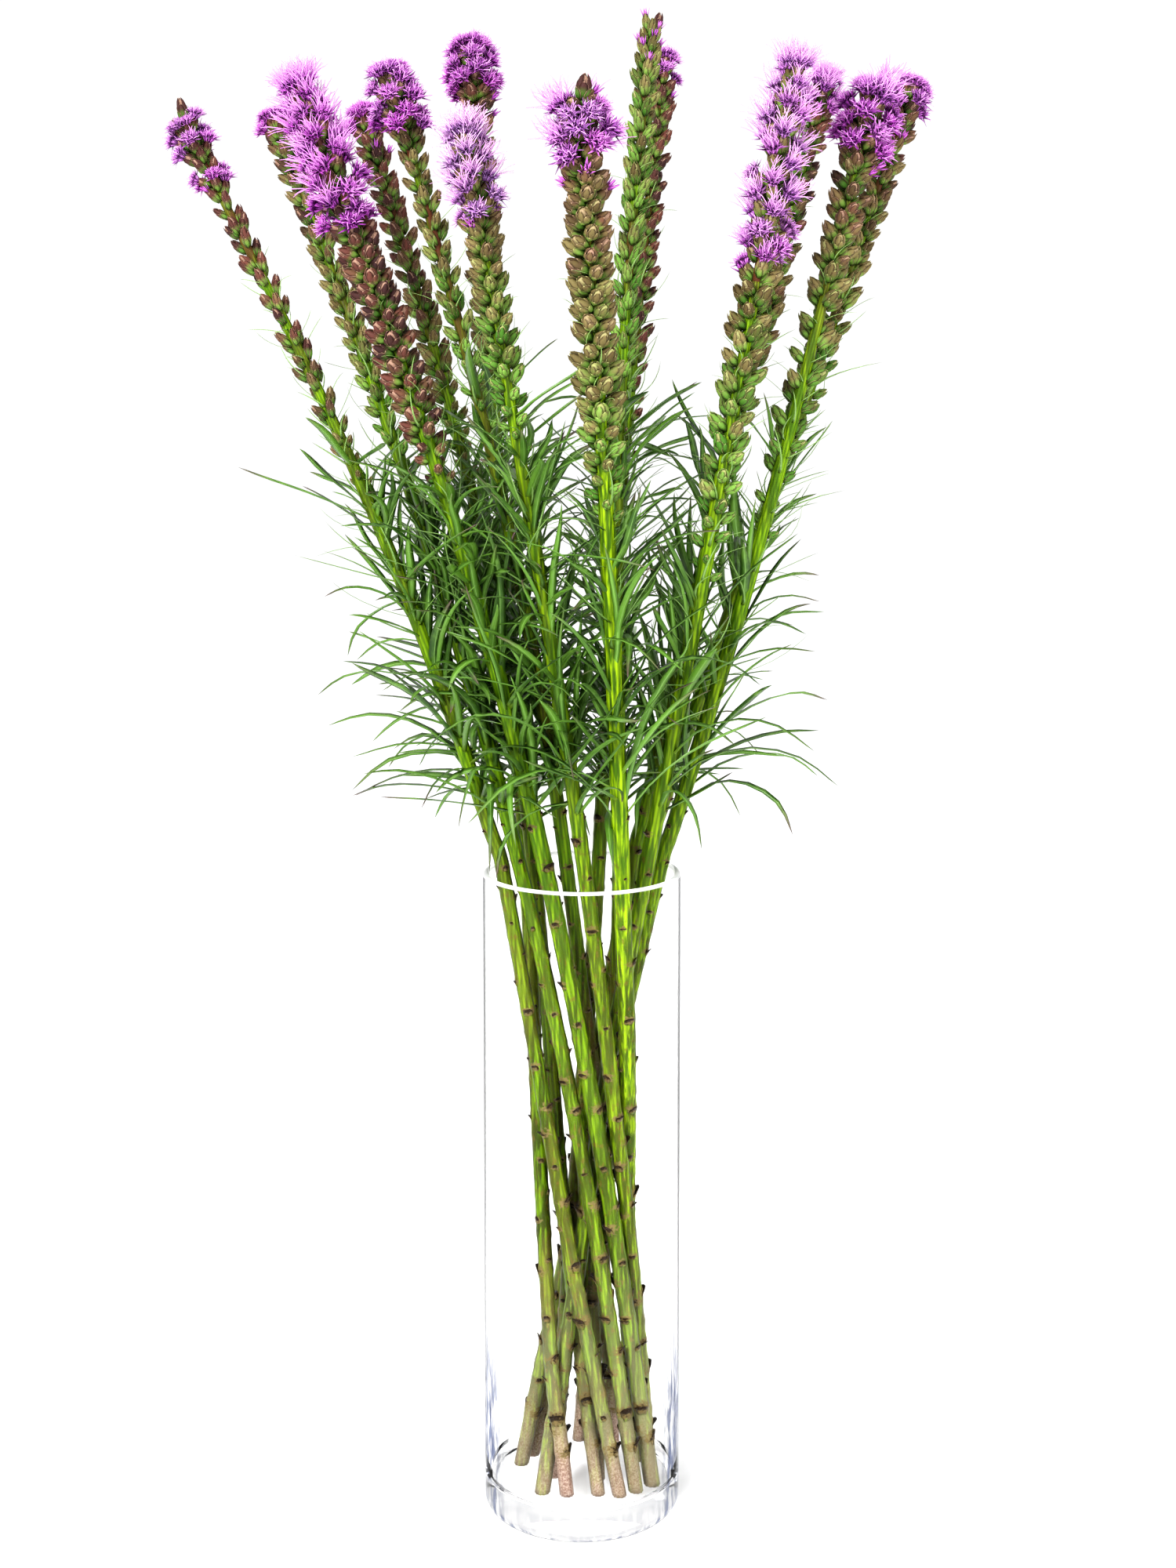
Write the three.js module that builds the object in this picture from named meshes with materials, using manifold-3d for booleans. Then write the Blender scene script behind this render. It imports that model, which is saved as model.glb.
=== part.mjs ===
// Blazing star (liatris) cut stems standing in a tall clear glass cylinder vase.
// Millimetres, +Z up. The origin is on the vase's axis, on the surface it stands on.
// Every stem is one grown body: a stalk, its narrow leaves and its closed buds. The tufted purple
// top of each spike is a body of its own colour that carries the stalk on.

import * as THREE from "three";
import { mergeVertices } from "three/addons/utils/BufferGeometryUtils.js";
import Module from "manifold-3d";

const wasm = await Module();
wasm.setup();

// Vase
const VASE_RADIUS = 60;
const VASE_HEIGHT = 400;
const VASE_WALL = 4;
const VASE_FLOOR = 20;
const HEEL_RADIUS = 10;
const RIM_RADIUS = VASE_WALL / 2;
const VASE_SIDES = 32;
const HEEL_STEPS = 3;
const LIP_STEPS = 4;

// Heights at which a stem's path is set
const WAIST_HEIGHT = 185;
const SHOULDER_HEIGHT = 640;

// Stalk
const SEAT_GAP = 0.3;
const STALK_RADIUS = 4.7;
const STALK_TIP_RADIUS = 2;
const TAPER_FROM = 560;
const STALK_SIDES = 8;
const STALK_RINGS = 14;

// Buds
const BUD_STEP = 9;
const BUD_LIFT = 6.5;
const BUD_TWIST = 0.13;
const BUD_NECK = 5;
const BUD_CLEAR_OF_HEAD = 10;
const BUD_SMALLEST = 0.82;

// Purple heads
const HEAD_SIDES = 10;
const HEAD_STEP = 5.6;
const HEAD_LIFT = 3.5;
const HEAD_CORE = 0.42;
const HEAD_TWIST = 0.21;
const HEAD_SMALLEST = 0.8;
const HEAD_TAPER = 0.62;
const HEAD_FEWEST_ROWS = 3;

// Leaves
const LEAF_LOWEST = 436;
const LEAF_SEGMENTS = 4;
const LEAF_SAMPLES = 6;
const LEAF_KEEL = 1.5;
const LEAF_ROOT_DEPTH = 2.2;
const LEAF_CLEARANCE = 4.8;
const LEAF_TRIES = 30;
const LEAF_SHAPE = [0.72, 1, 0.92, 0.62];
const GOLDEN_ANGLE = 2.399963;
const LEAF_TOP_GAP = 18;
const LEAF_BASE_SPREAD = 6;
const LEAF_TURN_SPREAD = 0.9;
const LEAF_SWEEP_SPREAD = 1.2;
const LEAF_STEEPNESS = { low: 0.62, gain: 0.5, spread: 0.35 };
const LEAF_DROOP = { low: 1.9, loss: 1.1, least: 0.35, spread: 0.9 };
const LEAF_LENGTH = { low: 116, loss: 44, least: 0.7, spread: 0.4 };
const LEAF_WIDTH = { least: 3.6, spread: 1.2 };
const LEAF_SHORTER_EACH_TRY = 0.012;

// Settling the stems beside each other
const LEVEL_STEP = 15;
const SETTLING_PASSES = 90;
const SMOOTHING_PASSES = 70;
const SLANT_ALLOWANCE = 1.14;
const STEM_GAP = 1.2;

// Each stem's path: x and y on the vase floor, at the waist, at the rim and at the shoulder, then
// the tip. buds is the height where they start and how far they reach from the stalk's middle,
// head the same for the purple tufts. girth scales the stalk, leaves is how many it carries.
const STEMS = [
  { foot: [23, -32], waist: [-12, -17], rim: [-47, -9], shoulder: [-128, -14], tip: [-236, -20, 855],
    buds: [642, 10], head: [806, 13], girth: 0.92, leaves: 12 },
  { foot: [33, -26], waist: [9, -20], rim: [-33, -19], shoulder: [-104, 8], tip: [-188, 40, 860],
    buds: [640, 11.5], head: [836, 13], girth: 0.95, leaves: 12 },
  { foot: [43, -17], waist: [20, -17], rim: [-18, -27], shoulder: [-80, -32], tip: [-164, -40, 871],
    buds: [650, 16.5], head: [778, 21], girth: 1.05, leaves: 13 },
  { foot: [20, 39], waist: [9, 14], rim: [-7, -8], shoulder: [-47, -14], tip: [-113, -35, 880],
    buds: [680, 11], head: [828, 18], girth: 0.88, leaves: 12 },
  { foot: [10, -30], waist: [-14, -4], rim: [-27, 8], shoulder: [-66, 34], tip: [-137, 60, 864],
    buds: [650, 12], head: [824, 13], girth: 0.9, leaves: 12 },
  { foot: [-9, -31], waist: [-23, -8], rim: [-34, 26], shoulder: [-52, 60], tip: [-69, 90, 908],
    buds: [660, 14], head: [866, 18.5], girth: 0.92, leaves: 12 },
  { foot: [42, 3], waist: [30, -9], rim: [4, -36], shoulder: [-33, -48], tip: [-67, -70, 843],
    buds: [668, 13.5], head: [784, 18], girth: 0.95, leaves: 13 },
  { foot: [33, 16], waist: [25, 4], rim: [24, -41], shoulder: [14, -66], tip: [-2, -120, 860],
    buds: [632, 16.5], head: [806, 24], girth: 1.08, leaves: 13 },
  { foot: [-2, 45], waist: [11, 22], rim: [26, -8], shoulder: [18, -8], tip: [42, 10, 914],
    buds: [668, 11], head: [872, 10], girth: 0.9, leaves: 11 },
  { foot: [10, -10], waist: [4, 1], rim: [11, 18], shoulder: [24, 46], tip: [52, 90, 900],
    buds: [660, 12], head: [862, 11], girth: 0.92, leaves: 12 },
  { foot: [-24, -28], waist: [0, -8], rim: [38, -21], shoulder: [82, -36], tip: [122, -50, 881],
    buds: [594, 15], head: [754, 19.5], girth: 1, leaves: 13 },
  { foot: [-17, -6], waist: [-3, 10], rim: [31, 20], shoulder: [88, 42], tip: [150, 60, 883],
    buds: [660, 12.5], head: [848, 14], girth: 0.92, leaves: 12 },
  { foot: [-38, 11], waist: [-6, 18], rim: [50, -3], shoulder: [118, -6], tip: [173, -10, 872],
    buds: [618, 14.5], head: [818, 23], girth: 0.98, leaves: 13 },
  { foot: [-31, 24], waist: [2, 28], rim: [38, 34], shoulder: [122, 28], tip: [203, 50, 880],
    buds: [668, 12.5], head: [842, 15], girth: 0.92, leaves: 12 },
];

// A repeatable random number from 0 to 1
function makeDraw(seed) {
  let state = seed;
  return () => {
    state = (Math.imul(state, 1664525) + 1013904223) >>> 0;
    return state / 4294967296;
  };
}

// A smooth value through known ones, where place is the height and the knots' heights may be uneven
function smoothValue(heights, values, place) {
  const last = heights.length - 1;
  let k = 0;
  while (k < last - 1 && place > heights[k + 1]) k += 1;
  const slopeAt = (n) => {
    const before = Math.max(n - 1, 0);
    const after = Math.min(n + 1, last);
    return (values[after] - values[before]) / (heights[after] - heights[before]);
  };
  const span = heights[k + 1] - heights[k];
  const t = (place - heights[k]) / span;
  const rise = values[k + 1] - values[k];
  const ease = t * t * (3 - 2 * t);
  const leave = t * (1 - t) * (1 - t) * span * slopeAt(k);
  const arrive = t * t * (t - 1) * span * slopeAt(k + 1);
  return values[k] + rise * ease + leave + arrive;
}

function stalkRadius(stem, z) {
  const full = STALK_RADIUS * stem.girth;
  const share = Math.max(0, (z - TAPER_FROM) / (stem.tip[2] - TAPER_FROM));
  return full + (STALK_TIP_RADIUS - full) * share;
}

// The room a stem needs round its middle line at a height
function roomRadius(stem, z) {
  const bare = stalkRadius(stem, z);
  if (z > stem.head[0] - BUD_STEP) return Math.max(stem.head[1], stem.buds[1]);
  if (z > stem.buds[0] - BUD_STEP) return stem.buds[1];
  return bare;
}

// Sets every stem's path on even levels, then pushes apart the ones that touch
function settlePaths() {
  const bottom = VASE_FLOOR + SEAT_GAP;
  const paths = STEMS.map((stem) => {
    const knots = [bottom, WAIST_HEIGHT, VASE_HEIGHT, SHOULDER_HEIGHT, stem.tip[2]];
    const points = [stem.foot, stem.waist, stem.rim, stem.shoulder, stem.tip];
    const count = Math.ceil((stem.tip[2] - bottom) / LEVEL_STEP) + 1;
    const levels = Array.from({ length: count }, (_, n) => bottom + n * LEVEL_STEP);
    const xs = levels.map((z) => smoothValue(knots, points.map((p) => p[0]), z));
    const ys = levels.map((z) => smoothValue(knots, points.map((p) => p[1]), z));
    return { levels, xs, ys };
  });
  const inside = VASE_RADIUS - VASE_WALL - STEM_GAP;
  for (let pass = 0; pass < SETTLING_PASSES; pass += 1) {
    paths.forEach((one, i) => {
      one.levels.forEach((z, n) => {
        for (let j = i + 1; j < paths.length; j += 1) {
          const other = paths[j];
          if (n >= other.levels.length) continue;
          const rooms = roomRadius(STEMS[i], z) + roomRadius(STEMS[j], z);
          const need = rooms * SLANT_ALLOWANCE + STEM_GAP;
          const dx = other.xs[n] - one.xs[n];
          const dy = other.ys[n] - one.ys[n];
          const apart = Math.sqrt(dx * dx + dy * dy);
          if (apart >= need) continue;
          const push = (need - apart) / (2 * apart);
          one.xs[n] -= dx * push;
          one.ys[n] -= dy * push;
          other.xs[n] += dx * push;
          other.ys[n] += dy * push;
        }
        if (z > VASE_HEIGHT + LEVEL_STEP) return;
        const limit = inside - roomRadius(STEMS[i], z) * SLANT_ALLOWANCE;
        const out = Math.sqrt(one.xs[n] * one.xs[n] + one.ys[n] * one.ys[n]);
        if (out <= limit) return;
        one.xs[n] *= limit / out;
        one.ys[n] *= limit / out;
      });
    });
    if (pass >= SMOOTHING_PASSES) continue;
    for (const path of paths) {
      for (const line of [path.xs, path.ys]) {
        for (let n = 1; n < line.length - 1; n += 1) {
          line[n] += (line[n - 1] + line[n + 1] - 2 * line[n]) / 4;
        }
      }
    }
  }
  return paths;
}

const PATHS = settlePaths();

function middle(index, z) {
  const path = PATHS[index];
  const x = smoothValue(path.levels, path.xs, z);
  const y = smoothValue(path.levels, path.ys, z);
  return new THREE.Vector3(x, y, z);
}

// The direction a stem grows in at a height
function growth(index, z) {
  const step = 2;
  return middle(index, z + step).sub(middle(index, z - step)).normalize();
}

// One ring of points round a stem: spread gives each point's distance out and its lift up the stem
function ringPoints(index, z, sides, turn, spread, level = false) {
  const centre = middle(index, z);
  const along = level ? new THREE.Vector3(0, 0, 1) : growth(index, z);
  const across = new THREE.Vector3(1, 0, 0);
  across.addScaledVector(along, -across.dot(along)).normalize();
  const back = along.clone().cross(across);
  return Array.from({ length: sides }, (_, j) => {
    const angle = (2 * Math.PI * j) / sides + turn;
    const [out, lift] = spread(j);
    return centre
      .clone()
      .addScaledVector(across, Math.cos(angle) * out)
      .addScaledVector(back, Math.sin(angle) * out)
      .addScaledVector(along, lift);
  });
}

// A closed skin over a stack of rings, flat at the bottom and drawn to one point at the top or flat
function skinOver(rings, point = null) {
  const sides = rings[0].length;
  const positions = rings.flat().flatMap((p) => [p.x, p.y, p.z]);
  const faces = [];
  const at = (k, j) => k * sides + (j % sides);
  for (let k = 0; k < rings.length - 1; k += 1) {
    for (let j = 0; j < sides; j += 1) {
      const raised = (k + j) % 2 === 0;
      const [a, b, c, d] = [at(k, j), at(k, j + 1), at(k + 1, j + 1), at(k + 1, j)];
      if (raised) faces.push(a, b, d, b, c, d);
      else faces.push(a, b, c, a, c, d);
    }
  }
  for (let j = 1; j < sides - 1; j += 1) faces.push(at(0, 0), at(0, j + 1), at(0, j));
  const top = rings.length - 1;
  if (point) {
    const tip = positions.length / 3;
    positions.push(point.x, point.y, point.z);
    for (let j = 0; j < sides; j += 1) faces.push(at(top, j), at(top, j + 1), tip);
  } else {
    for (let j = 1; j < sides - 1; j += 1) faces.push(at(top, 0), at(top, j), at(top, j + 1));
  }
  return solidFrom(positions, faces);
}

function solidFrom(positions, faces) {
  return new wasm.Manifold(
    new wasm.Mesh({
      numProp: 3,
      vertProperties: new Float32Array(positions),
      triVerts: new Uint32Array(faces),
    }),
  );
}

function geometryFrom(solid) {
  const mesh = solid.getMesh();
  const geometry = new THREE.BufferGeometry();
  geometry.setAttribute("position", new THREE.BufferAttribute(mesh.vertProperties, 3));
  geometry.setIndex(new THREE.BufferAttribute(mesh.triVerts, 1));
  geometry.computeVertexNormals();
  return geometry;
}

// The stalk with its closed buds, from the flat cut foot to the flat end under the purple head
function stalkWithBuds(index) {
  const stem = STEMS[index];
  const draw = makeDraw(100 + index);
  const rings = [];
  const bottom = VASE_FLOOR + SEAT_GAP;
  const bare = (stem.buds[0] - BUD_NECK - bottom) / (STALK_RINGS - 1);
  for (let k = 0; k < STALK_RINGS; k += 1) {
    const z = bottom + k * bare;
    const radius = stalkRadius(stem, z);
    rings.push(ringPoints(index, z, STALK_SIDES, 0, () => [radius, 0], k === 0));
  }
  const last = stem.head[0] - BUD_CLEAR_OF_HEAD;
  const rows = Math.round((last - stem.buds[0]) / BUD_STEP);
  const step = (last - stem.buds[0]) / rows;
  for (let k = 0; k <= rows; k += 1) {
    const z = stem.buds[0] + k * step;
    const radius = stalkRadius(stem, z);
    const row = rings.length;
    rings.push(
      ringPoints(index, z, STALK_SIDES, BUD_TWIST * k, (j) => {
        if ((row + j) % 2 !== 0) return [radius, 0];
        const size = BUD_SMALLEST + (1 - BUD_SMALLEST) * draw();
        return [stem.buds[1] * size, BUD_LIFT * size];
      }),
    );
  }
  const end = stalkRadius(stem, stem.head[0]);
  rings.push(ringPoints(index, stem.head[0], STALK_SIDES, BUD_TWIST * rows, () => [end, 0]));
  return skinOver(rings);
}

// The opened florets at the top of a spike, raised round a slim core
function headOfTufts(index) {
  const stem = STEMS[index];
  const draw = makeDraw(300 + index);
  const start = stem.head[0] + SEAT_GAP;
  const radius = stalkRadius(stem, start);
  const rings = [ringPoints(index, start, HEAD_SIDES, 0, () => [radius, 0])];
  const finish = stem.tip[2] - HEAD_STEP;
  const rows = Math.max(HEAD_FEWEST_ROWS, Math.round((finish - start) / HEAD_STEP));
  const step = (finish - start) / rows;
  for (let k = 1; k <= rows; k += 1) {
    const share = k / rows;
    const full = stem.head[1] * Math.sqrt(1 - HEAD_TAPER * share * share * share);
    const row = rings.length;
    rings.push(
      ringPoints(index, start + k * step, HEAD_SIDES, HEAD_TWIST * k, (j) => {
        if ((row + j) % 2 !== 0) return [full * HEAD_CORE, 0];
        const size = HEAD_SMALLEST + (1 - HEAD_SMALLEST) * draw();
        return [full * size, HEAD_LIFT * size];
      }),
    );
  }
  return skinOver(rings, middle(index, stem.tip[2]));
}

// A leaf's middle line: it leaves the stalk at one steepness, bows over by droop and swings by sweep
function leafLine(index, leaf) {
  const stem = STEMS[index];
  const start = stalkRadius(stem, leaf.base) - LEAF_ROOT_DEPTH;
  const facing = new THREE.Vector3(Math.cos(leaf.facing), Math.sin(leaf.facing), 0);
  const points = [middle(index, leaf.base).addScaledVector(facing, start)];
  for (let k = 0; k < LEAF_SEGMENTS; k += 1) {
    const share = (k + 0.5) / LEAF_SEGMENTS;
    const rise = leaf.steepness - leaf.droop * share;
    const heading = leaf.facing + leaf.sweep * share;
    const step = leaf.length / LEAF_SEGMENTS;
    const next = points[k].clone();
    next.x += step * Math.cos(rise) * Math.cos(heading);
    next.y += step * Math.cos(rise) * Math.sin(heading);
    next.z += step * Math.sin(rise);
    points.push(next);
  }
  return points;
}

// The closest that a point comes to a straight piece
function distanceToPiece(point, a, b) {
  const line = b.clone().sub(a);
  const t = point.clone().sub(a).dot(line) / line.lengthSq();
  return point.distanceTo(a.clone().addScaledVector(line, Math.min(1, Math.max(0, t))));
}

function leafIsClear(index, points, placed) {
  for (let k = 0; k < LEAF_SEGMENTS; k += 1) {
    for (let n = 0; n < LEAF_SAMPLES; n += 1) {
      const share = (n + 0.5) / LEAF_SAMPLES;
      const point = points[k].clone().lerp(points[k + 1], share);
      const start = k === 0 && n < LEAF_SAMPLES / 2;
      const isClearOfStems = STEMS.every((stem, other) => {
        if (point.z > stem.tip[2] + LEAF_CLEARANCE) return true;
        if (other === index && k === 0) return true;
        const axis = middle(other, Math.min(point.z, stem.tip[2]));
        const room = roomRadius(stem, point.z) * SLANT_ALLOWANCE + LEAF_CLEARANCE / 2;
        return Math.hypot(point.x - axis.x, point.y - axis.y) > room;
      });
      if (!isClearOfStems) return false;
      if (point.z < VASE_HEIGHT + LEAF_CLEARANCE) return false;
      const isClearOfLeaves = placed.every((leaf) => {
        if (start && leaf.index === index) return true;
        return leaf.points.every((_, m) => {
          if (m === LEAF_SEGMENTS) return true;
          return distanceToPiece(point, leaf.points[m], leaf.points[m + 1]) > LEAF_CLEARANCE;
        });
      });
      if (!isClearOfLeaves) return false;
    }
  }
  return true;
}

// Leaves spiral up the stalk: long and drooping low down, short and upright under the buds
function placeLeaves() {
  const placed = [];
  STEMS.forEach((stem, index) => {
    const draw = makeDraw(700 + index);
    for (let n = 0; n < stem.leaves; n += 1) {
      const height = (n + 0.5) / stem.leaves;
      const base = LEAF_LOWEST + (stem.buds[0] - LEAF_TOP_GAP - LEAF_LOWEST) * height;
      for (let attempt = 0; attempt < LEAF_TRIES; attempt += 1) {
        const leaf = {
          index,
          base: base + LEAF_BASE_SPREAD * (draw() - 0.5),
          facing: GOLDEN_ANGLE * n + index + LEAF_TURN_SPREAD * attempt * (draw() - 0.5),
          steepness: LEAF_STEEPNESS.low + LEAF_STEEPNESS.gain * height + LEAF_STEEPNESS.spread * draw(),
          droop: LEAF_DROOP.least + LEAF_DROOP.spread * draw(),
          sweep: LEAF_SWEEP_SPREAD * (draw() - 0.5),
          length: LEAF_LENGTH.least + LEAF_LENGTH.spread * draw(),
          width: LEAF_WIDTH.least + LEAF_WIDTH.spread * draw(),
        };
        leaf.droop *= LEAF_DROOP.low - LEAF_DROOP.loss * height;
        leaf.length *= LEAF_LENGTH.low - LEAF_LENGTH.loss * height;
        leaf.length *= 1 - LEAF_SHORTER_EACH_TRY * attempt;
        leaf.points = leafLine(index, leaf);
        if (!leafIsClear(index, leaf.points, placed)) continue;
        placed.push(leaf);
        break;
      }
    }
  });
  return placed;
}

// A narrow blade with a keel along its underside, drawn to a point
function leafBlade(leaf) {
  const { points } = leaf;
  const positions = [];
  const faces = [];
  for (let k = 0; k < LEAF_SEGMENTS; k += 1) {
    const before = points[Math.max(k - 1, 0)];
    const along = points[k + 1].clone().sub(before).normalize();
    const heading = leaf.facing + (leaf.sweep * k) / LEAF_SEGMENTS;
    const side = new THREE.Vector3(-Math.sin(heading), Math.cos(heading), 0);
    const under = side.clone().cross(along).normalize();
    const half = (leaf.width / 2) * LEAF_SHAPE[k];
    const corners = [
      points[k].clone().addScaledVector(side, half),
      points[k].clone().addScaledVector(side, -half),
      points[k].clone().addScaledVector(under, LEAF_KEEL * LEAF_SHAPE[k]),
    ];
    for (const corner of corners) positions.push(corner.x, corner.y, corner.z);
  }
  const tip = points[LEAF_SEGMENTS];
  positions.push(tip.x, tip.y, tip.z);
  faces.push(0, 2, 1);
  for (let k = 0; k < LEAF_SEGMENTS - 1; k += 1) {
    for (let j = 0; j < 3; j += 1) {
      const a = 3 * k + j;
      const b = 3 * k + ((j + 1) % 3);
      faces.push(a, b, a + 3, b, b + 3, a + 3);
    }
  }
  const end = 3 * (LEAF_SEGMENTS - 1);
  for (let j = 0; j < 3; j += 1) faces.push(end + j, end + ((j + 1) % 3), end + 3);
  return solidFrom(positions, faces);
}

// The vase's outline, turned round its axis: heel, side, rounded lip, inner wall and inner corner
function makeVase() {
  const inner = VASE_RADIUS - VASE_WALL;
  const outline = [new THREE.Vector2(0, 0)];
  const arc = (x, y, radius, from, to, steps) => {
    for (let n = 0; n <= steps; n += 1) {
      const angle = from + ((to - from) * n) / steps;
      outline.push(new THREE.Vector2(x + radius * Math.cos(angle), y + radius * Math.sin(angle)));
    }
  };
  arc(VASE_RADIUS - HEEL_RADIUS, HEEL_RADIUS, HEEL_RADIUS, -Math.PI / 2, 0, HEEL_STEPS);
  arc(VASE_RADIUS - RIM_RADIUS, VASE_HEIGHT - RIM_RADIUS, RIM_RADIUS, 0, Math.PI, LIP_STEPS);
  const corner = HEEL_RADIUS / 2;
  arc(inner - corner, VASE_FLOOR + corner, corner, 0, -Math.PI / 2, HEEL_STEPS);
  outline.push(new THREE.Vector2(0, VASE_FLOOR));
  const turned = new THREE.LatheGeometry(outline, VASE_SIDES);
  turned.deleteAttribute("normal");
  turned.deleteAttribute("uv");
  turned.rotateX(Math.PI / 2);
  const merged = mergeVertices(turned, 1e-4);
  merged.computeVertexNormals();
  return merged;
}

const glass = new THREE.MeshStandardMaterial({ color: 0xeef3f4, roughness: 0.05, metalness: 0 });
const green = new THREE.MeshStandardMaterial({ color: 0x5d8a22, roughness: 0.6, metalness: 0 });
const purple = new THREE.MeshStandardMaterial({ color: 0xb45fd0, roughness: 0.75, metalness: 0 });

const part = new THREE.Group();

function addMesh(name, geometry, material) {
  const mesh = new THREE.Mesh(geometry, material);
  mesh.name = name;
  part.add(mesh);
}

addMesh("vase", makeVase(), glass);

const leaves = placeLeaves();
STEMS.forEach((_, index) => {
  const number = String(index + 1).padStart(2, "0");
  const blades = leaves.filter((leaf) => leaf.index === index).map(leafBlade);
  const stem = blades.reduce((body, blade) => body.add(blade), stalkWithBuds(index));
  addMesh("stem_" + number, geometryFrom(stem), green);
  addMesh("flower_head_" + number, geometryFrom(headOfTufts(index)), purple);
});

export default part;
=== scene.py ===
# %% [markdown]
# Blazing star in a glass vase
#
# Fourteen long cut blazing star (liatris) stems stand in a tall clear glass cylinder. Each stem has
# a ribbed stalk with leaf scars low down, a shaggy zone of narrow leaves, then a spike of scaly
# buds, and at the top of the spike the opened purple tufts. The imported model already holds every
# stem and head as a faceted solid. This script dresses each of them with finer pieces that follow
# the same line, so the bunch keeps its form from every side.

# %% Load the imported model
import math
import random
from dataclasses import dataclass

import bmesh
import bpy
import numpy as np
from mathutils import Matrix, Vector


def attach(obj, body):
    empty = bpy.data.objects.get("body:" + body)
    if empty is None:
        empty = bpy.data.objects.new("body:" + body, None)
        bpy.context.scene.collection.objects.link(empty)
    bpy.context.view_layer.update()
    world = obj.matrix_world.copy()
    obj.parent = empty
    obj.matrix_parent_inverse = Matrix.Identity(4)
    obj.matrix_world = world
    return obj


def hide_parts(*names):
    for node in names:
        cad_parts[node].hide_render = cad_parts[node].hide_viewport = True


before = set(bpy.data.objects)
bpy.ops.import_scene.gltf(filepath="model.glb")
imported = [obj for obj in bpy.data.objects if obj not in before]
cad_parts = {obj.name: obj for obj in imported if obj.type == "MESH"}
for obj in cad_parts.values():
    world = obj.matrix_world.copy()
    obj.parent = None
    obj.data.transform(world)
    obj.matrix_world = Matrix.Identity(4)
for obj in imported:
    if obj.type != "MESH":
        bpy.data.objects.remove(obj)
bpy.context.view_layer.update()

# %% [markdown]
# Camera, floor and light
#
# The picture is taken from a metre and a half away, a little above the middle of the bunch, with a
# long lens that looks slightly down. The studio is white all round. A clear glass only shows by
# what it bends into view, so the white dome is a little darker far out to the left and right. Two
# large soft lamps shape the stems. The floor is white paper with a painted shade right under the
# vase: it is painted grey there, so that the thick foot bends the grey into view and shows. It lies
# half a millimetre under the glass, as it does under the ring that a real vase stands on, so that
# light reaches the underside.

# %% Small helpers
def add_object(name, data):
    made = bpy.data.objects.new(name, data)
    bpy.context.scene.collection.objects.link(made)
    return made


def mesh_from(bm, name):
    """Makes a mesh of an edited shape and frees the shape."""
    mesh = bpy.data.meshes.new(name)
    bm.to_mesh(mesh)
    bm.free()
    return mesh


# %% Camera
CAMERA_PLACE = (0.0038, -1.5133, 0.733)
CAMERA_LOOKS_DOWN = math.radians(5.888)
LENS = 58.34
FRAME_SHIFT = -0.13

camera_data = bpy.data.cameras.new("camera")
camera_data.lens = LENS
camera_data.sensor_width = 36.0
camera_data.shift_y = FRAME_SHIFT
camera = add_object("camera", camera_data)
camera.location = CAMERA_PLACE
camera.rotation_euler = (math.pi / 2 - CAMERA_LOOKS_DOWN, 0, 0)
bpy.context.scene.camera = camera
bpy.context.scene.view_settings.view_transform = "Standard"
bpy.context.scene.view_settings.look = "Medium High Contrast"


# %% A short way to write materials
def paint(code):
    """A colour written as on a paint card, turned into the linear values that a shader needs."""
    parts = [int(code[n : n + 2], 16) / 255 for n in (1, 3, 5)]
    return tuple(((c + 0.055) / 1.055) ** 2.4 if c > 0.04045 else c / 12.92 for c in parts) + (1.0,)


class NodeWords:
    """A few short words for the nodes that a material or the sky is mixed from."""

    def __init__(self, tree):
        self.tree = tree

    def node(self, kind, settings=None, **sockets):
        made = self.tree.nodes.new("ShaderNode" + kind)
        for key, value in (settings or {}).items():
            setattr(made, key, value)
        for key, value in sockets.items():
            self.plug(made.inputs[key.replace("_", " ")], value)
        return made

    def plug(self, socket, value):
        """Gives a socket another node's result, a number or a colour from the paint card."""
        if isinstance(value, bpy.types.NodeSocket):
            self.tree.links.new(value, socket)
        else:
            socket.default_value = paint(value) if isinstance(value, str) else value

    def sum(self, operation, a, b=0.5):
        made = self.node("Math", {"operation": operation})
        self.plug(made.inputs[0], a)
        self.plug(made.inputs[1], b)
        return made.outputs[0]

    def times(self, a, b):
        return self.sum("MULTIPLY", a, b)

    def plus(self, a, b):
        return self.sum("ADD", a, b)

    def fade(self, value, low, high, start=0.0, stop=1.0):
        """Runs from start to stop while the value goes from low to high, which may be the smaller one."""
        made = self.node("MapRange", {"interpolation_type": "SMOOTHSTEP"}, Value=value)
        for name, number in zip(("From Min", "From Max", "To Min", "To Max"), (low, high, start, stop)):
            made.inputs[name].default_value = number
        return made.outputs["Result"]


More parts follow.
